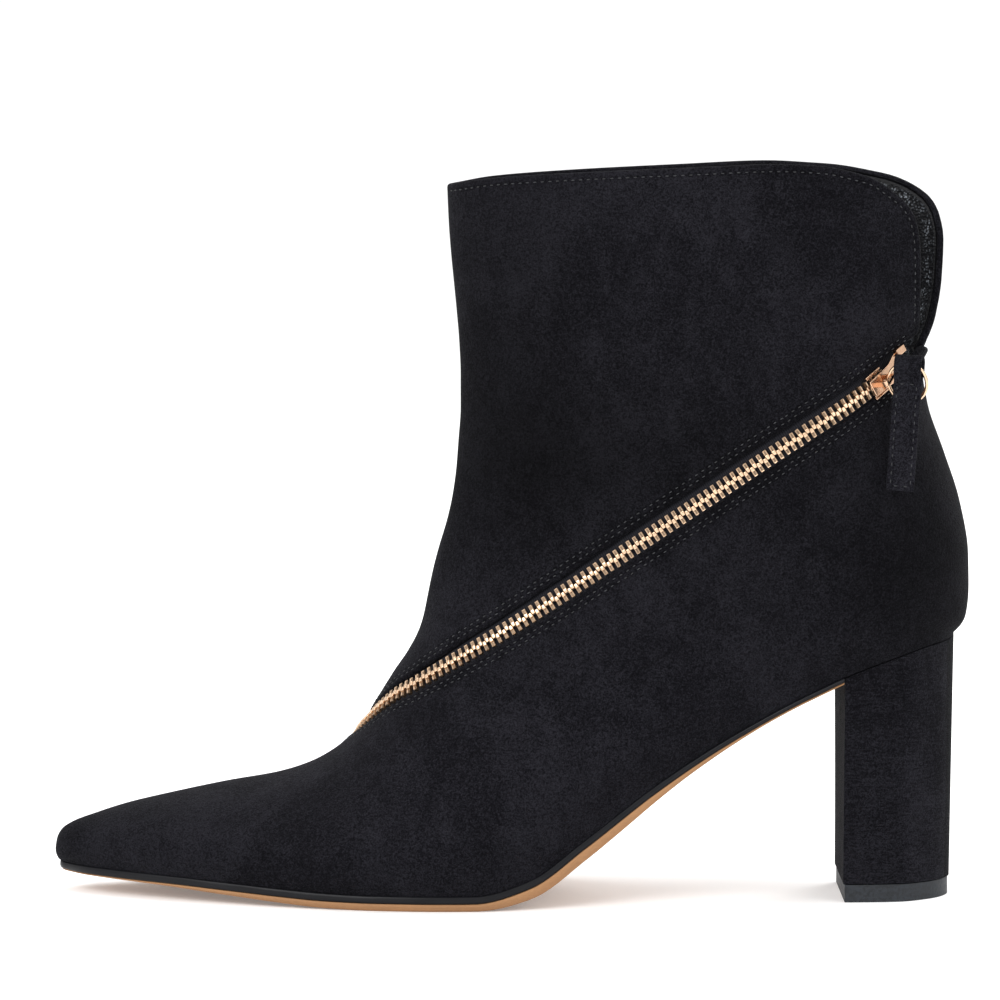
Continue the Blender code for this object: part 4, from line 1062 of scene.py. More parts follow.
def rim_field(points, normals, notch_rows):
    """Distance of points from the rim along the wall: negative where the rim cuts them off."""
    line, floor = rim_line(notch_rows)
    past_x = float(x_at(RIM_PAST_X))
    past_z = float(z_at(RIM_PAST_Z))
    around = np.concatenate((line, floor, [[past_x, floor[0, 1]], [past_x, past_z], [line[0, 0], past_z]]))
    spots = points[:, (0, 2)]
    nearest = np.full(len(spots), np.inf)
    gaps = np.zeros_like(spots)
    inside = np.zeros(len(spots), dtype=bool)
    edge_count = len(line) + 1
    for number, (start, end) in enumerate(zip(around, np.roll(around, -1, axis=0))):
        run = end - start
        if number < edge_count:
            share = np.clip(((spots - start) @ run) / (run @ run), 0.0, 1.0)
            gap = spots - start - share[:, None] * run
            square = (gap ** 2).sum(-1)
            nearer = square < nearest
            nearest = np.where(nearer, square, nearest)
            gaps = np.where(nearer[:, None], gap, gaps)
        crosses = (start[1] > spots[:, 1]) != (end[1] > spots[:, 1])
        height = run[1] if run[1] != 0 else 1e-12
        reach = start[0] + (spots[:, 1] - start[1]) * run[0] / height
        inside ^= crosses & (spots[:, 0] < reach)
    ways = unit(gaps)
    facing = ways[:, 0] * normals[:, 0] + ways[:, 1] * normals[:, 2]
    slant = np.sqrt(np.maximum(1 - facing ** 2, STEEPEST ** 2))
    return np.where(inside, -1.0, 1.0) * np.sqrt(nearest) / slant


def clip_faces(columns, faces, field):
    """Cut faces along the line where the field is zero, and carry the columns' values along."""
    keep = field > 0
    index = np.full(len(field), -1)
    kept = np.flatnonzero(keep)
    index[kept] = np.arange(len(kept))
    crossings = {}
    pairs = []
    result = []
    for face in faces:
        state = [keep[i] for i in face]
        if all(state):
            result.append([int(index[i]) for i in face])
            continue
        if not any(state):
            continue
        loop = []
        for i, j in zip(face, face[1:] + face[:1]):
            if keep[i]:
                loop.append(int(index[i]))
            if keep[i] != keep[j]:
                key = (min(i, j), max(i, j))
                if key not in crossings:
                    crossings[key] = len(kept) + len(pairs)
                    pairs.append(key)
                loop.append(crossings[key])
        result.append(loop)
    pairs = np.array(pairs)
    share = (field[pairs[:, 0]] / (field[pairs[:, 0]] - field[pairs[:, 1]]))
    between = columns[pairs[:, 0]] + share[:, None] * (columns[pairs[:, 1]] - columns[pairs[:, 0]])
    return np.concatenate((columns[kept], between)), result


# Soft troughs and ridges of the worn-in suede, in side view and millimetres
FOLD_ROWS = table("x z reach across turn depth", (
    (-16, 82, 34, 9, 28, -0.55),
    (-8, 98, 40, 10, 20, 0.40),
    (0, 114, 44, 11, 12, -0.35),
    (-36, 40, 30, 9, 58, -0.40),
    (62, 62, 40, 12, 24, -0.45),
    (88, 108, 26, 12, -10, 0.45),
    (20, 46, 46, 14, 32, 0.40),
))


def fold_heights(points):
    height = np.zeros(len(points))
    for row in FOLD_ROWS:
        turn = math.radians(row.turn)
        x = points[:, 0] - row.x * MM
        z = points[:, 2] - row.z * MM
        along = (x * math.cos(turn) + z * math.sin(turn)) / (row.reach * MM)
        across = (z * math.cos(turn) - x * math.sin(turn)) / (row.across * MM)
        height += row.depth * MM * np.exp(-along ** 2 - across ** 2)
    return height


# Zones of painted light and shade that make the suede lighter or darker, in side view and millimetres
PAINTED_LIGHT_ROWS = table("x z reach_x reach_z lift", (
    (1, 126, 28, 26, -0.44),
    (50, 126, 36, 20, -0.26),
    (70, 84, 34, 18, -0.08),
    (116, 102, 22, 36, -0.38),
    (-4, 172, 22, 40, -0.22),
    (-32, 34, 40, 18, 0.15),
    (32, 56, 36, 20, 0.10),
    (-108, 18, 22, 14, -0.06),
))


# Painted light and shade at each point, summed from the zones above
def painted_light_shift(points):
    lift = np.zeros(len(points))
    for row in PAINTED_LIGHT_ROWS:
        x = (points[:, 0] / MM - row.x) / row.reach_x
        z = (points[:, 2] / MM - row.z) / row.reach_z
        lift += row.lift * np.exp(-x ** 2 - z ** 2)
    return lift


def shell_sheet(radius):
    """The trimmed outer sheet: points with the zip's and the rim's distances, faces and bottom marks."""
    start = float(FORM.station_of(FORM.feather_x))
    nose = start * np.linspace(0.0, 1.0, NOSE_CELLS + 1)[:-1]
    foot = start + (1 - start) * np.linspace(0.0, 1.0, FOOT_CELLS + 1)[:-1]
    shaft = 1 + np.linspace(0.0, 1.0, SHAFT_CELLS + 1)
    stations = np.concatenate((nose, foot, shaft))
    arounds = np.linspace(-1.0, 1.0, 2 * HALF_CELLS + 1)
    grid = FORM.point(stations[:, None], arounds[None, :])
    points = grid.reshape(-1, 3)
    rows, columns = grid.shape[:2]
    station = np.repeat(stations, columns)
    around = np.tile(arounds, rows)
    along, across, away = ROUTE.offsets(points)
    far = away > FAR_OFF
    across = np.where(far, FAR_ACROSS, across)
    normals = FORM.normal(station, around)
    rim = np.where(around < 0, rim_field(points, normals, LATERAL_NOTCH_ROWS),
                   rim_field(points, normals, MEDIAL_NOTCH_ROWS))
    middle = 0.5 * (SLOT_ABOVE - SLOT_BELOW)
    half = 0.5 * (SLOT_ABOVE + SLOT_BELOW) + radius
    slot = np.maximum(np.abs(across - middle) - half, SLOT_START - radius - along)
    slot = np.maximum(slot, along - ROUTE.length - SLOT_RUN_OUT)
    slot = np.where(far, 1.0, slot)
    field = np.minimum(slot, rim - radius)
    bottom = ((np.abs(around) > BOTTOM_AROUND) & (station < 1)).astype(float)
    carried = np.column_stack((points, across / MM, rim / MM, along / MM, bottom))
    faces = []
    for row in range(rows - 1):
        here = row * columns
        for cell in range(columns - 1):
            faces.append([here + cell, here + cell + 1, here + columns + cell + 1, here + columns + cell])
    return clip_faces(carried, faces, field)


def build_shell(looks):
    radius = looks.edge_radius
    carried, faces = shell_sheet(radius)
    shape = bmesh.new()
    layers = [shape.verts.layers.float.new(name) for name in SHELL_LAYERS + ("bottom",)]
    bottom_layer = layers[-1]
    corners = []
    for row in carried:
        corner = shape.verts.new(row[:3])
        for layer, value in zip(layers, row[3:]):
            corner[layer] = value
        corners.append(corner)
    for face in faces:
        shape.faces.new([corners[i] for i in face])
    bmesh.ops.remove_doubles(shape, verts=shape.verts, dist=POLE_MERGE)
    edge = [corner for corner in shape.verts if corner.is_boundary and corner[bottom_layer] < 0.5]
    bmesh.ops.remove_doubles(shape, verts=edge, dist=EDGE_MERGE)
    loose = [corner for corner in shape.verts if not corner.link_faces]
    bmesh.ops.delete(shape, geom=loose, context="VERTS")
    bmesh.ops.recalc_face_normals(shape, faces=shape.faces)
    shape.normal_update()
    shape.verts.index_update()
    points = np.array([corner.co[:] for corner in shape.verts])
    normals = np.array([corner.normal[:] for corner in shape.verts])
    values = np.array([[corner[layer] for layer in layers] for corner in shape.verts])
    outer = [[corner.index for corner in face.verts] for face in shape.faces]
    away = np.zeros_like(points)
    rim_edges = []
    for edge in shape.edges:
        if not edge.is_boundary:
            continue
        loop = edge.link_loops[0]
        start = loop.vert
        end = loop.link_loop_next.vert
        outward = (end.co - start.co).normalized().cross(loop.face.normal)
        away[start.index] += outward
        away[end.index] += outward
        rim_edges.append((start.index, end.index))
    shape.free()
    away = unit(square_to(away, normals))
    points = points + normals * fold_heights(points)[:, None]
    count = len(points)
    inner = points - 2 * radius * normals
    border = sorted({i for pair in rim_edges for i in pair})
    position = {corner: number for number, corner in enumerate(border)}
    roll = np.where(values[border, -1] > 0.5, BOTTOM_ROLL, 1.0)[:, None]
    rows = []
    for turn in range(1, EDGE_TURNS):
        angle = math.pi * turn / EDGE_TURNS
        sunk = normals[border] * radius * (1 - math.cos(angle))
        rows.append(points[border] + away[border] * radius * math.sin(angle) * roll - sunk)
    every = np.concatenate([points, inner] + rows)
    shares = np.concatenate([values, values] + [values[border]] * len(rows))

    def ring(turn, corner):
        if turn == 0:
            return corner
        if turn == EDGE_TURNS:
            return count + corner
        return 2 * count + (turn - 1) * len(border) + position[corner]

    all_faces = [list(face) for face in outer]
    marks = [0] * len(outer)
    all_faces += [[count + i for i in reversed(face)] for face in outer]
    marks += [1] * len(outer)
    for start, end in rim_edges:
        for turn in range(EDGE_TURNS):
            all_faces.append([ring(turn, end), ring(turn, start), ring(turn + 1, start), ring(turn + 1, end)])
            marks.append(0)
    piece = mesh_piece("upper_shell", every, all_faces)
    mesh = piece.data
    shades = [shares[:, number] for number in range(len(SHELL_LAYERS))] + [painted_light_shift(every)]
    for name, shade in zip(SHELL_LAYERS + ("nap",), shades):
        layer = mesh.attributes.new(name, "FLOAT", "POINT")
        layer.data.foreach_set("value", shade.astype(np.float32))
    mesh.polygons.foreach_set("material_index", np.array(marks, dtype=np.int32))
    mesh.polygons.foreach_set("use_smooth", np.ones(len(marks), dtype=bool))
    mesh.update()
    return piece


class BOOTIE_OT_upper(Operator):
    """Build the suede upper with its turned edges and lining"""

    bl_idname = "bootie.upper"
    bl_label = "Suede upper"

    def execute(self, context):
        looks = context.scene.bootie_looks
        shell = build_shell(looks)
        materials = [suede_finish("upper suede", looks, seams=True), lining_finish()]
        dress(shell, materials, "boot", "upper")
        return {"FINISHED"}


# Stitches

def stitch_shape(looks):
    """One stitch along X: a stretched sphere."""
    stitch = primitive(bpy.ops.mesh.primitive_uv_sphere_add, segments=6, ring_count=5, radius=0.5)
    bpy.ops.transform.resize(value=(2 * looks.thread_radius, 2 * looks.thread_radius, looks.stitch_length))
    bpy.ops.object.transform_apply(location=True, rotation=True, scale=True)
    points, faces, marks = template(stitch)
    return points[:, (2, 0, 1)], faces, marks


def along_line(points, normals, looks):
    """Places, ways and normals of stitches that follow a line of points."""
    lengths = lengths_along(points)
    pitch = looks.stitch_length + looks.stitch_gap
    count = int(lengths[-1] / pitch)
    middles = (np.arange(count) + 0.5) * lengths[-1] / max(count, 1)

    def at(values, places):
        return np.stack([np.interp(places, lengths, values[:, axis]) for axis in range(3)], axis=-1)

    centre = at(points, middles)
    way = unit(at(points, middles + 0.2 * pitch) - at(points, middles - 0.2 * pitch))
    return centre, way, unit(square_to(at(normals, middles), way))


def rim_stitch_line(notch_rows, side, inset, last_share):
    """A line on the wall that follows the rim at a fixed inset."""
    line, _ = rim_line(notch_rows)
    way = unit(np.gradient(line, axis=0))
    inward = np.stack((way[:, 1], -way[:, 0]), axis=-1)
    spots = line + inset * inward
    spots = spots[:int(last_share * len(spots))]
    station, around = FORM.locate(spots[:, 0], spots[:, 1], side)
    usable = np.abs(around) > RIDGE_CLEAR
    points = FORM.point(station, around)
    normals = FORM.normal(station, around)
    return points[usable], normals[usable]


def sew(name, lines, looks, body):
    """One piece of stitches along lines of points and normals."""
    rows = [along_line(points, normals, looks) for points, normals in lines]
    centre, way, normal = [np.concatenate(parts) for parts in zip(*rows)]
    sewn = copies(name, stitch_shape(looks), centre, way, np.cross(normal, way), normal)
    settle(sewn, name, sharp=60.0)
    dress(sewn, plain_finish("sewing thread", looks.thread), body)


class BOOTIE_OT_stitches(Operator):
    """Sew the double rows beside the zip and the row along the collar"""

    bl_idname = "bootie.stitches"
    bl_label = "Stitches"

    def execute(self, context):
        looks = context.scene.bootie_looks
        lengths = np.linspace(ZIP_SEAM_START, ROUTE.length - ZIP_SEAM_END, SEAM_SPOTS)
        lines = [ROUTE.beside(lengths, row * MM, 0.0) for row in STITCH_ROWS]
        for rows, side in ((LATERAL_NOTCH_ROWS, -1), (MEDIAL_NOTCH_ROWS, 1)):
            lines.append(rim_stitch_line(rows, side, RIM_STITCH * MM, RIM_SEAM_SHARE))
        lifted = [(points + normals * fold_heights(points)[:, None], normals) for points, normals in lines]
        sew("upper_stitches", lifted, looks, "boot")
        return {"FINISHED"}


# Sole and heel

def plan_line(places, side, grow):
    """The feather line on one side, moved out along its own normal."""
    line = np.stack((places, FORM.centre(places) + side * FORM.foot_width(places, side)), axis=-1)
    run = np.gradient(line, axis=0)
    normal = unit(np.stack((-run[:, 1], run[:, 0]), axis=-1)) * side
    tips = FORM.foot_width(places, side) < POLE_MERGE
    normal[tips] = np.stack((np.sign(places[tips]), np.zeros(tips.sum())), axis=-1)
    return line + np.reshape(grow, (-1, 1)) * normal


def floor_loop(places, grow, depth):
    """Both sides of the feather line, grown, and as deep under the foot as depth says at each x."""
    loop = []
    for side in (-1.0, 1.0):
        plan = plan_line(places, side, grow)
        height = FORM.floor_z(plan[:, 0]) - depth(plan[:, 0])
        loop.append(np.column_stack((plan, height)))
    return loop


def stack_piece(name, loops, sharp=40.0):
    """A closed body from plan loops, each of a lateral and a medial line."""
    rings = np.array([np.concatenate((lateral[::-1], medial)) for lateral, medial in loops])
    levels, around = rings.shape[:2]
    half = around // 2
    faces = []
    for level in range(levels - 1):
        for i in range(around):
            j = (i + 1) % around
            faces.append([level * around + i, level * around + j, (level + 1) * around + j,
                          (level + 1) * around + i])
    for level in (0, levels - 1):
        base = level * around
        for i in range(half - 1):
            faces.append([base + i, base + i + 1, base + around - 2 - i, base + around - 1 - i])
    piece = mesh_piece(name, rings.reshape(-1, 3), faces)
    return settle(piece, name, sharp)


def foot_places(count, end):
    """Places along the foot, close together at the toe."""
    turns = np.linspace(0.0, math.pi, count)
    share = 0.5 * (1 - np.cos(turns))
    last = TOE_SPOTS - 1
    share[:TOE_SPOTS] = share[last] * (np.arange(TOE_SPOTS) / last) ** 2
    return FORM.feather_x + (end - FORM.feather_x) * share


class BOOTIE_OT_sole(Operator):
    """Build the insole, the inked edge and the tan outsole"""

    bl_idname = "bootie.sole"
    bl_label = "Sole"

    def execute(self, context):
        looks = context.scene.bootie_looks
        places = foot_places(SOLE_SPOTS, BREAST_X - FIT_GAP)
        rows = x_at(column(SOLE_ROWS, "along"))
        edge = Curve(rows, column(SOLE_ROWS, "edge") * MM)
        outsole = Curve(rows, column(SOLE_ROWS, "outsole") * MM)
        loops = []
        for grow, base, share in EDGE_PROFILE:
            loops.append(floor_loop(places, grow * MM, lambda x: base * MM + share * edge(x)))
        band = stack_piece("edge_band", loops, sharp=75.0)
        dress(band, plain_finish("inked edge"), "boot", "sole_edge")
        inset = THIN_INSET * np.clip(1 - outsole(places) / THIN_OUTSOLE, 0.0, 1.0)
        loops = []
        for grow, base, share in OUTSOLE_PROFILE:
            loops.append(floor_loop(places, grow * MM - inset,
                                    lambda x: base * MM + edge(x) + share * outsole(x)))
        body = stack_piece("outsole_body", loops, sharp=75.0)
        dress(body, plain_finish("tan outsole", looks.tan), "boot", "outsole")
        places = foot_places(INSOLE_SPOTS, FORM.heel_x)
        loops = [floor_loop(places, grow * MM, lambda x: -rise * MM) for grow, rise in INSOLE_PROFILE]
        sock = stack_piece("insole_sock", loops, sharp=60.0)
        dress(sock, plain_finish("insole sock"), "boot", "insole")
        return {"FINISHED"}


def heel_loop(places, drop, inset=0.0):
    """A plan loop of the block heel, with a drop of 0 at the heel seat and 1 at the lift."""
    eased = 1 - (1 - drop) ** 2
    width = 1 + (HEEL_BOTTOM_WIDTH - 1) * eased
    length = 1 + (HEEL_BOTTOM_LENGTH - 1) * drop
    low = LIFT_THICK + FIT_GAP
    loop = []
    for side in (-1.0, 1.0):
        spots = plan_line(places, side, 0.0)
        seat = FORM.floor_z(spots[:, 0]) - FIT_GAP
        back_share = (spots[:, 0] - BREAST_X) / (FORM.heel_x - BREAST_X)
        x = BREAST_X + (spots[:, 0] - BREAST_X) * length + inset * (1 - 2 * back_share)
        y = spots[:, 1] * width
        y = y - np.sign(y) * np.minimum(inset, np.abs(y))
        loop.append(np.column_stack((x, y, seat + (low - seat) * drop)))
    return loop


class BOOTIE_OT_heel(Operator):
    """Build the covered block heel and its rubber lift"""

    bl_idname = "bootie.heel"
    bl_label = "Heel"

    def execute(self, context):
        looks = context.scene.bootie_looks
        places = BREAST_X + (FORM.heel_x - BREAST_X) * np.sin(np.linspace(0.0, QUARTER_TURN, HEEL_SPOTS))
        loops = [heel_loop(places, drop) for drop in np.linspace(0.0, 1.0, HEEL_LEVELS)]
        cover = stack_piece("heel_cover", loops)
        apply_bevel(cover, HEEL_BEVEL, segments=4, angle=math.radians(50))
        settle(cover, "heel_cover", sharp=60.0)
        # Painted shade darkens the heel's front faces, and a painted highlight lightens the rounded corners
        # beside them
        nap = cover.data.attributes.new("nap", "FLOAT", "FACE")
        forward = np.array([-face.normal.x for face in cover.data.polygons])
        corner = np.where(forward > CORNER_FACING, HEEL_CORNER_PAINTED_HIGHLIGHT, 0.0)
        shades = np.where(forward > FRONT_FACING, HEEL_FRONT_PAINTED_SHADE, corner)
        nap.data.foreach_set("value", shades.astype(np.float32))
        dress(cover, suede_finish("heel suede", looks, woven=True), "boot", "heel")
        top = heel_loop(places, 1.0, LIFT_INSET)
        loops = []
        for z in (LIFT_THICK, 0.5 * LIFT_THICK, 0.0):
            loops.append([np.column_stack((line[:, :2], np.full(len(line), z))) for line in top])
        lift = stack_piece("heel_top_lift", loops)
        apply_bevel(lift, LIFT_BEVEL, segments=2, angle=math.radians(50))
        settle(lift, "heel_top_lift", sharp=60.0)
        dress(lift, plain_finish("heel rubber", looks.lift_grey), "boot", "heel_lift")
        return {"FINISHED"}


# Zip

def block_piece(low, high):
    """A box between two corners, in millimetres."""
    block = primitive(bpy.ops.mesh.primitive_cube_add, size=1.0)
    bpy.ops.transform.resize(value=[(b - a) * MM for a, b in zip(low, high)])
    bpy.ops.transform.translate(value=[0.5 * (a + b) * MM for a, b in zip(low, high)])
    bpy.ops.object.transform_apply(location=True, rotation=True, scale=True)
    return block


def dimple(piece, border, depth):
    """Sink the middle of the faces that look straight up, in the second finish if there is one, which on a
    tooth is painted shadow.
    """
    activate(piece)
    for face in piece.data.polygons:
        face.select = face.normal.z > FACING_UP
    bpy.ops.object.mode_set(mode="EDIT")
    bpy.ops.mesh.select_mode(type="FACE")
    bpy.ops.mesh.inset(thickness=border, depth=-depth)
    bpy.ops.object.mode_set(mode="OBJECT")
    for face in piece.data.polygons:
        shaded = face.select and len(piece.data.materials) > DIMPLE_SHADOW_FINISH
        face.material_index = DIMPLE_SHADOW_FINISH if shaded else 0
    bpy.ops.object.mode_set(mode="EDIT")
    bpy.ops.mesh.select_mode(type="VERT")
    bpy.ops.object.mode_set(mode="OBJECT")


def join_pieces(pieces):
    bpy.ops.object.select_all(action="DESELECT")
    for piece in pieces:
        piece.select_set(True)
    bpy.context.view_layer.objects.active = pieces[0]
    bpy.ops.object.join()
    return pieces[0]


def tooth_shape(finishes):
    """One tooth across +Y: a dimpled leg on the tape and a raised head in the chain's middle."""
    leg = block_piece(*TOOTH_LEG)
    head = block_piece(*TOOTH_HEAD)
    for finish in finishes:
        leg.data.materials.append(finish)
        head.data.materials.append(finish)
    apply_bevel(leg, LEG_BEVEL, segments=2, angle=math.radians(30))
    dimple(leg, *LEG_DIMPLE)
    for vertex in head.data.vertices:
        if vertex.co.y < 0:
            vertex.co.x *= HEAD_TAPER
    apply_bevel(head, HEAD_BEVEL, segments=3, angle=math.radians(30))
    for face in head.data.polygons:
        face.material_index = HEAD_FINISH
    return template(join_pieces([leg, head]))


class BOOTIE_OT_zip(Operator):
    """Build the two tapes and the chain of teeth"""

    bl_idname = "bootie.zip"
    bl_label = "Zip chain and tapes"

    def execute(self, context):
        looks = context.scene.bootie_looks
        tape_material = tape_finish()
        first = SLOT_START + FIT_GAP
        last = ROUTE.length - TAPE_END
        lengths = np.linspace(first, last, TAPE_SPOTS)
        parting = ROUTE.length - SLIDER_FROM_END - SLIDER_HALF
        parted = np.clip((lengths - parting) / SLIDER_HALF, 0.0, 1.0) * TAPE_PARTING
        for name, side in (("zip_tape_upper", 1.0), ("zip_tape_lower", -1.0)):
            inner = TAPE_GAP + parted
            rings = []
            for share, depth in TAPE_PROFILE:
                across = side * (inner + share * (TAPE_HALF - inner))
                rings.append(ROUTE.beside(lengths, across, depth * MM)[0])
            strip = tube_piece(np.stack(rings, axis=1))
            settle(strip, "strip_" + name, sharp=50.0, fill=True)
            dress(strip, tape_material, "boot", name)
        half_pitch = 0.5 * TOOTH_PITCH
        places = np.arange(first + FIRST_TOOTH, ROUTE.length - SLIDER_FROM_END, half_pitch)
        marks = ROUTE.frame(places)
        sides = np.where(np.arange(len(places)) % 2 == 0, 1.0, -1.0)[:, None]
        # Legs and dimples are the heads' gold, darkened with painted shade and painted shadow
        finishes = [plain_finish("tooth leg", dimmed(looks.gold, LEG_PAINTED_SHADE)),
                    plain_finish("tooth dimple", dimmed(looks.gold, DIMPLE_PAINTED_SHADOW)),
                    plain_finish("tooth head", looks.gold)]
        chain = copies("teeth_chain", tooth_shape(finishes), marks.origin, marks.along * sides,
                       marks.across * sides, marks.out)
        settle(chain, "teeth_chain", sharp=40.0)
        dress(chain, finishes, "boot", "zip_teeth")
        return {"FINISHED"}


def slider_frame():
    mark = ROUTE.frame(np.array([ROUTE.length - SLIDER_FROM_END]))
    return Frame(mark.origin[0], mark.along[0], mark.across[0], mark.out[0])


def outline_piece(outline, low, high):
    """A flat outline raised from low to high, in the slider's own directions."""
    count = len(outline)
    points = [(x, y, low) for x, y in outline] + [(x, y, high) for x, y in outline]
    faces = [list(range(count)), [count + i for i in range(count)]]
    faces += [[i, (i + 1) % count, count + (i + 1) % count, count + i] for i in range(count)]
    return mesh_piece("outline", points, faces)


# Half the slider's plate along and across the zip, in millimetres
PLATE_HALF = ((-7.7, 2.1), (-7.3, 2.65), (-1.0, 2.85), (1.6, 3.1), (4.2, 4.2), (7.3, 4.6), (8.0, 4.1),
              (7.8, 2.6), (6.3, 0.7), (5.9, 0.0))
# The bail along the zip and out of the shaft, in millimetres: its outside, then back along its inside
BAIL_LINE = ((-5.0, 1.5), (-5.0, 4.1), (-4.8, 4.6), (-4.3, 4.85), (-1.0, 4.85), (-0.5, 4.6), (-0.3, 4.1),
             (-0.3, 1.5), (-1.0, 1.5), (-1.0, 3.95), (-1.2, 4.15), (-4.1, 4.15), (-4.3, 3.95), (-4.3, 1.5))


def plate_outline():
    mirrored = [(along, -across) for along, across in reversed(PLATE_HALF) if across != 0]
    return [(along * MM, across * MM) for along, across in list(PLATE_HALF) + mirrored]


def bail_outline():
    return [(along * MM, out * MM) for along, out in BAIL_LINE]


# Blocks of the slider in its own directions: post, two flanges, two side walls and a raised corner
SLIDER_BLOCKS = (
    ((3.0, -0.9, -5.0), (4.8, 0.9, 1.2)),
    ((-7.0, -3.6, -0.5), (-0.9, -3.1, 0.55)),
    ((-7.0, 3.1, -0.5), (-0.9, 3.6, 0.55)),
    ((-6.6, -3.3, -0.4), (-1.2, -2.5, 0.2)),
    ((-6.6, 2.5, -0.4), (-1.2, 3.3, 0.2)),
    ((5.2, 2.9, 1.2), (8.6, 4.9, 3.0)),
)


class BOOTIE_OT_slider(Operator):
    """Build the zip's slider with plates, side flanges, post and bail"""

    bl_idname = "bootie.slider"
    bl_label = "Zip slider"

    def execute(self, context):
        looks = context.scene.bootie_looks
        mark = slider_frame()
        top = settle(outline_piece(plate_outline(), *PLATE_FRONT), "slider_plate", sharp=30.0)
        dimple(top, *PLATE_DIMPLE)
        pieces = [top, outline_piece(plate_outline(), *PLATE_REAR)]
        pieces += [block_piece(low, high) for low, high in SLIDER_BLOCKS]
        bail = outline_piece(bail_outline(), -BAIL_HALF, BAIL_HALF)
        move_corners(bail, corners_of(bail)[:, (0, 2, 1)])
        pieces.append(bail)
        for piece in pieces:
            settle(piece, "slider_part", sharp=30.0)
            apply_bevel(piece, SLIDER_BEVEL, segments=3, angle=math.radians(25))
        body = join_pieces(pieces)
        move_corners(body, set_in(corners_of(body), mark.origin, mark.along, mark.across, mark.out))
        body.data.materials.clear()
        settle(body, "slider_body", sharp=35.0)
        dress(body, plain_finish("slider gold", looks.rose_gold), "boot", "zip_slider")
        return {"FINISHED"}


# Pull

def ring_ways():
    """The way from the hinge to the ring's middle, the ring's upward way and the tab's width."""
    level = np.array((math.cos(RING_SWING), -math.sin(RING_SWING), 0.0))
    facing = np.array((-math.sin(RING_SWING), -math.cos(RING_SWING), 0.0))
    up = np.array((0.0, 0.0, 1.0))
    reach = math.cos(RING_DROOP) * level - math.sin(RING_DROOP) * up
    upright = math.sin(RING_DROOP) * level + math.cos(RING_DROOP) * up
    return reach, math.cos(RING_TILT) * upright + math.sin(RING_TILT) * facing, level


def hinge_place():
    mark = slider_frame()
    return mark.origin + HINGE_ALONG * mark.along + HINGE_OUT * mark.out


def tab_path():
    """The strap's middle line in its own side view: up the front, over the wire and down the back."""
    lay = 0.5 * TAB_LAYER + TAB_PLY_GAP
    bow = TUNNEL_HALF + 0.5 * TAB_LAYER
    top = bow + 0.5 * TAB_LAYER
    ends = np.linspace(TAB_LENGTH, FOLD_END, TAB_SPOTS)
    front = [(lay, length) for length in ends]
    spread = np.linspace(0.0, 1.0, BOW_SPOTS)[1:]
    eased = spread ** 2 * (3 - 2 * spread)
    lengths = FOLD_END + (TUNNEL_SIDE_END - BOW_END - FOLD_END) * spread
    front += [(lay + (bow - lay) * ease, length) for ease, length in zip(eased, lengths)]
    turns = np.linspace(0.0, math.pi, CROWN_SPOTS)[1:-1]
    crown = [(bow * math.cos(turn), top - bow * math.sin(turn)) for turn in turns]
    back = [(-thick, length) for thick, length in reversed(front)]
    return np.array(front + crown + back)


def tab_place(thick, length, aside):
    """Points of the strap, and its normals, from thickness, length from the fold and place across."""
    reach, upright, level = ring_ways()
    wire_top = hinge_place() + RING_RADIUS * reach + RING_RADIUS * upright
    down = unit(np.array((-math.tan(TAB_LEAN_FORWARD), -math.tan(TAB_LEAN_OUT), -1.0)))
    width = unit(level - (level @ down) * down)
    facing = np.cross(down, width)
    fold = wire_top + TAB_ASIDE * width - WIRE_AHEAD * facing - WIRE_BELOW_FOLD * down
    turn = (TAB_TWIST * length / TAB_LENGTH)[..., None]
    face_way = np.cos(turn) * facing + np.sin(turn) * width
    side_way = np.cos(turn) * width - np.sin(turn) * facing
    points = fold + length[..., None] * down + thick[..., None] * face_way + aside[..., None] * side_way
    return points, face_way


def tab_section():
    """The strap's section with rounded corners: places across it and through its thickness."""
    section = []
    for corner_x, corner_y, start in ((1, 1, 0), (-1, 1, 1), (-1, -1, 2), (1, -1, 3)):
        for step in range(4):
            angle = QUARTER_TURN * (start + step / 3)
            aside = corner_x * (TAB_HALF_WIDTH - TAB_ROUND) + TAB_ROUND * math.cos(angle)
            thick = corner_y * (0.5 * TAB_LAYER - TAB_ROUND) + TAB_ROUND * math.sin(angle)
            section.append((aside, thick))
    return section


def tab_seams():
    """Lines of stitches round both faces of the strap, with the faces' normals."""
    face = TAB_LAYER + TAB_STITCH_LIFT
    inset = TAB_HALF_WIDTH - TAB_SEAM_INSET
    top = FOLD_END + TAB_SEAM_TOP
    low = TAB_LENGTH - TAB_SEAM_LOW
    corners = (((top, -inset), (low, -inset)), ((top, inset), (low, inset)), ((low, -inset), (low, inset)),
               ((top, -inset), (top, inset)))
    seams = []
    for (start_length, start_aside), (end_length, end_aside) in corners:
        lengths = np.linspace(start_length, end_length, TAB_SEAM_SPOTS)
        asides = np.linspace(start_aside, end_aside, TAB_SEAM_SPOTS)
        for side in (1.0, -1.0):
            points, normals = tab_place(np.full(TAB_SEAM_SPOTS, side * face), lengths, asides)
            seams.append((points, side * normals))
    return seams


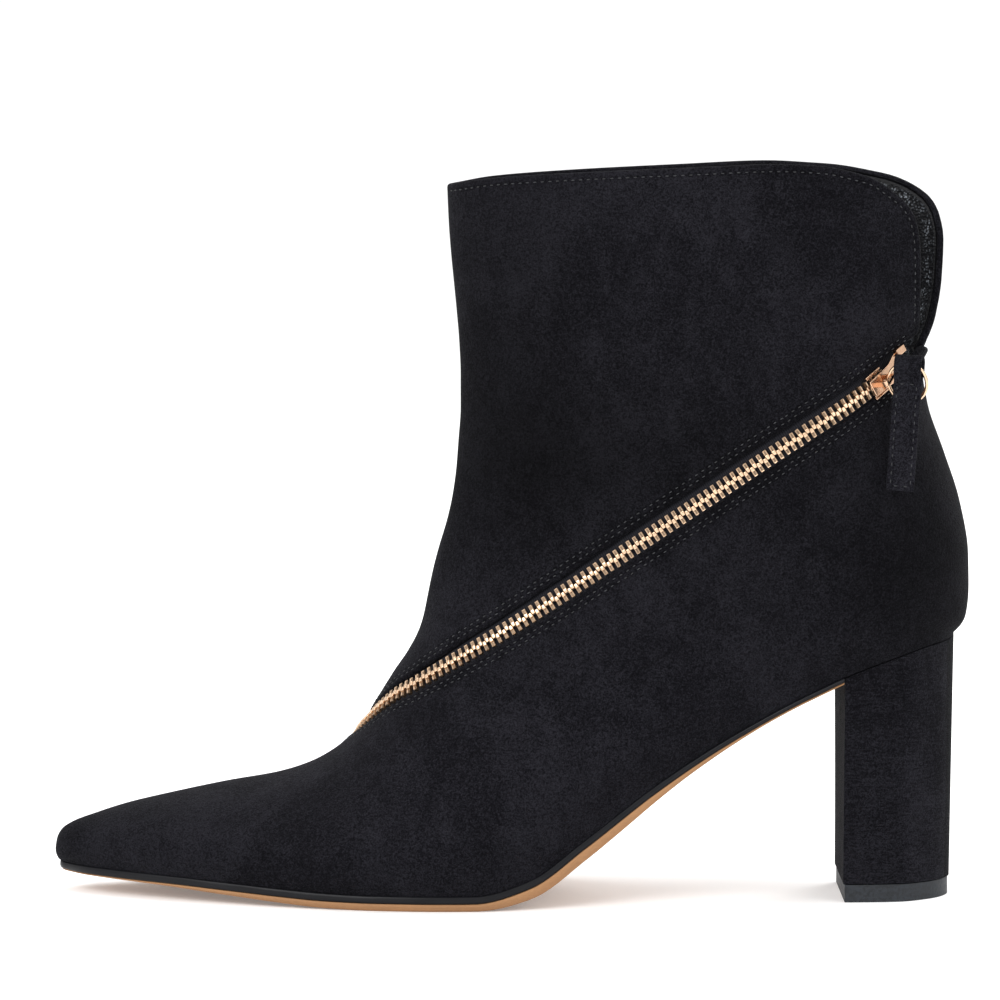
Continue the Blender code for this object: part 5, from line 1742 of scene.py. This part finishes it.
class BOOTIE_OT_pull(Operator):
    """Build the pull's wire ring and its folded, sewn tab"""

    bl_idname = "bootie.pull"
    bl_label = "Pull ring and tab"

    def execute(self, context):
        looks = context.scene.bootie_looks
        reach, upright, _ = ring_ways()
        middle = hinge_place() + RING_RADIUS * reach
        ring = primitive(bpy.ops.mesh.primitive_torus_add, major_segments=72, minor_segments=16,
                         major_radius=RING_RADIUS, minor_radius=WIRE_RADIUS)
        move_corners(ring, set_in(corners_of(ring), middle, reach, upright, np.cross(reach, upright)))
        settle(ring, "ring_wire", sharp=60.0)
        dress(ring, plain_finish("ring gold", looks.gold), "pull", "pull_ring")
        path = tab_path()
        run = unit(np.gradient(path, axis=0))
        away = np.stack((-run[:, 1], run[:, 0]), axis=-1)
        rings = []
        for aside, thick in tab_section():
            spot = path + thick * away
            rings.append(tab_place(spot[:, 0], spot[:, 1], np.full(len(path), aside))[0])
        tab = tube_piece(np.stack(rings, axis=1))
        settle(tab, "tab_strap", sharp=50.0, fill=True)
        dress(tab, suede_finish("tab suede", looks), "pull", "pull_tab")
        sew("tab_stitches", tab_seams(), looks, "pull")
        return {"FINISHED"}


# Stage

LIGHT_ROWS = table("name place size power", (
    ("key", (-1.1, -1.5, 1.3), 1.3, 26.0),
    ("fill", (1.4, -1.6, 0.8), 1.4, 8.0),
    ("top", (0.0, 0.2, 2.0), 1.6, 16.0),
    ("rim", (0.9, 1.4, 1.1), 0.9, 12.0),
))


def aim(thing, place, target):
    """Put a light or the camera at a place and turn it to a target."""
    thing.location = place
    thing.rotation_euler = Vector(target - place).to_track_quat("-Z", "Y").to_euler()


class BOOTIE_OT_stage(Operator):
    """Set the pale floor, the soft lights and the camera"""

    bl_idname = "bootie.stage"
    bl_label = "Studio"

    def execute(self, context):
        looks = context.scene.bootie_looks
        floor = primitive(bpy.ops.mesh.primitive_circle_add, vertices=96, radius=FLOOR_RADIUS,
                          fill_type="NGON", location=(0.0, 0.0, 0.0))
        floor.name = "studio_floor"
        paint = Finish("floor paint", {"Roughness": 0.9, "Specular IOR Level": 0.1,
                                       "Emission Color": WHITE, "Emission Strength": FLOOR_GLOW})
        clouds = paint.layer("floor clouds")
        dim = dimmed(looks.floor, FLOOR_CLOUDS)
        floor.data.materials.append(paint.connect(Base_Color=paint.blend(clouds, dim, rgba(looks.floor))))
        world = bpy.data.worlds.new("white studio")
        world.use_nodes = True
        backdrop = world.node_tree.nodes["Background"]
        backdrop.inputs["Color"].default_value = WHITE
        backdrop.inputs["Strength"].default_value = WORLD_STRENGTH
        context.scene.world = world
        for row in LIGHT_ROWS:
            lamp = bpy.data.lights.new(row.name, "AREA")
            lamp.shape = "DISK"
            lamp.size = row.size
            lamp.energy = row.power
            aim(linked(row.name, lamp), np.array(row.place), np.array(LIGHT_AIM))
        lens = bpy.data.cameras.new("camera")
        lens.lens = CAMERA_LENS
        lens.sensor_width = CAMERA_SENSOR
        lens.clip_end = 100.0
        camera = linked("camera", lens)
        target = np.array(CAMERA_AIM)
        away = np.array((0.0, -math.cos(CAMERA_ELEVATION), math.sin(CAMERA_ELEVATION)))
        aim(camera, target + CAMERA_FAR * away, target)
        context.scene.camera = camera
        context.scene.view_settings.view_transform = "Standard"
        return {"FINISHED"}


class BOOTIE_PT_panel(Panel):
    """Lists the steps that build the bootie"""

    bl_label = "Bootie"
    bl_idname = "BOOTIE_PT_panel"
    bl_space_type = "VIEW_3D"
    bl_region_type = "UI"
    bl_category = "Bootie"

    def draw(self, context):
        for step in STEPS:
            self.layout.operator(step.bl_idname)
        looks = context.scene.bootie_looks
        for name in looks.bl_rna.properties.keys():
            if name not in ("rna_type", "name"):
                self.layout.prop(looks, name)


STEPS = (BOOTIE_OT_stage, BOOTIE_OT_upper, BOOTIE_OT_stitches, BOOTIE_OT_sole, BOOTIE_OT_heel, BOOTIE_OT_zip,
         BOOTIE_OT_slider, BOOTIE_OT_pull)
CLASSES = (BootieLooks,) + STEPS + (BOOTIE_PT_panel,)


def register():
    for one in CLASSES:
        bpy.utils.register_class(one)
    bpy.types.Scene.bootie_looks = PointerProperty(type=BootieLooks)


def unregister():
    del bpy.types.Scene.bootie_looks
    for one in reversed(CLASSES):
        bpy.utils.unregister_class(one)


def main():
    register()
    bpy.ops.bootie.stage()
    bpy.ops.bootie.upper()
    bpy.ops.bootie.stitches()
    bpy.ops.bootie.sole()
    bpy.ops.bootie.heel()
    bpy.ops.bootie.zip()
    bpy.ops.bootie.slider()
    bpy.ops.bootie.pull()


if __name__ == "__main__":
    main()
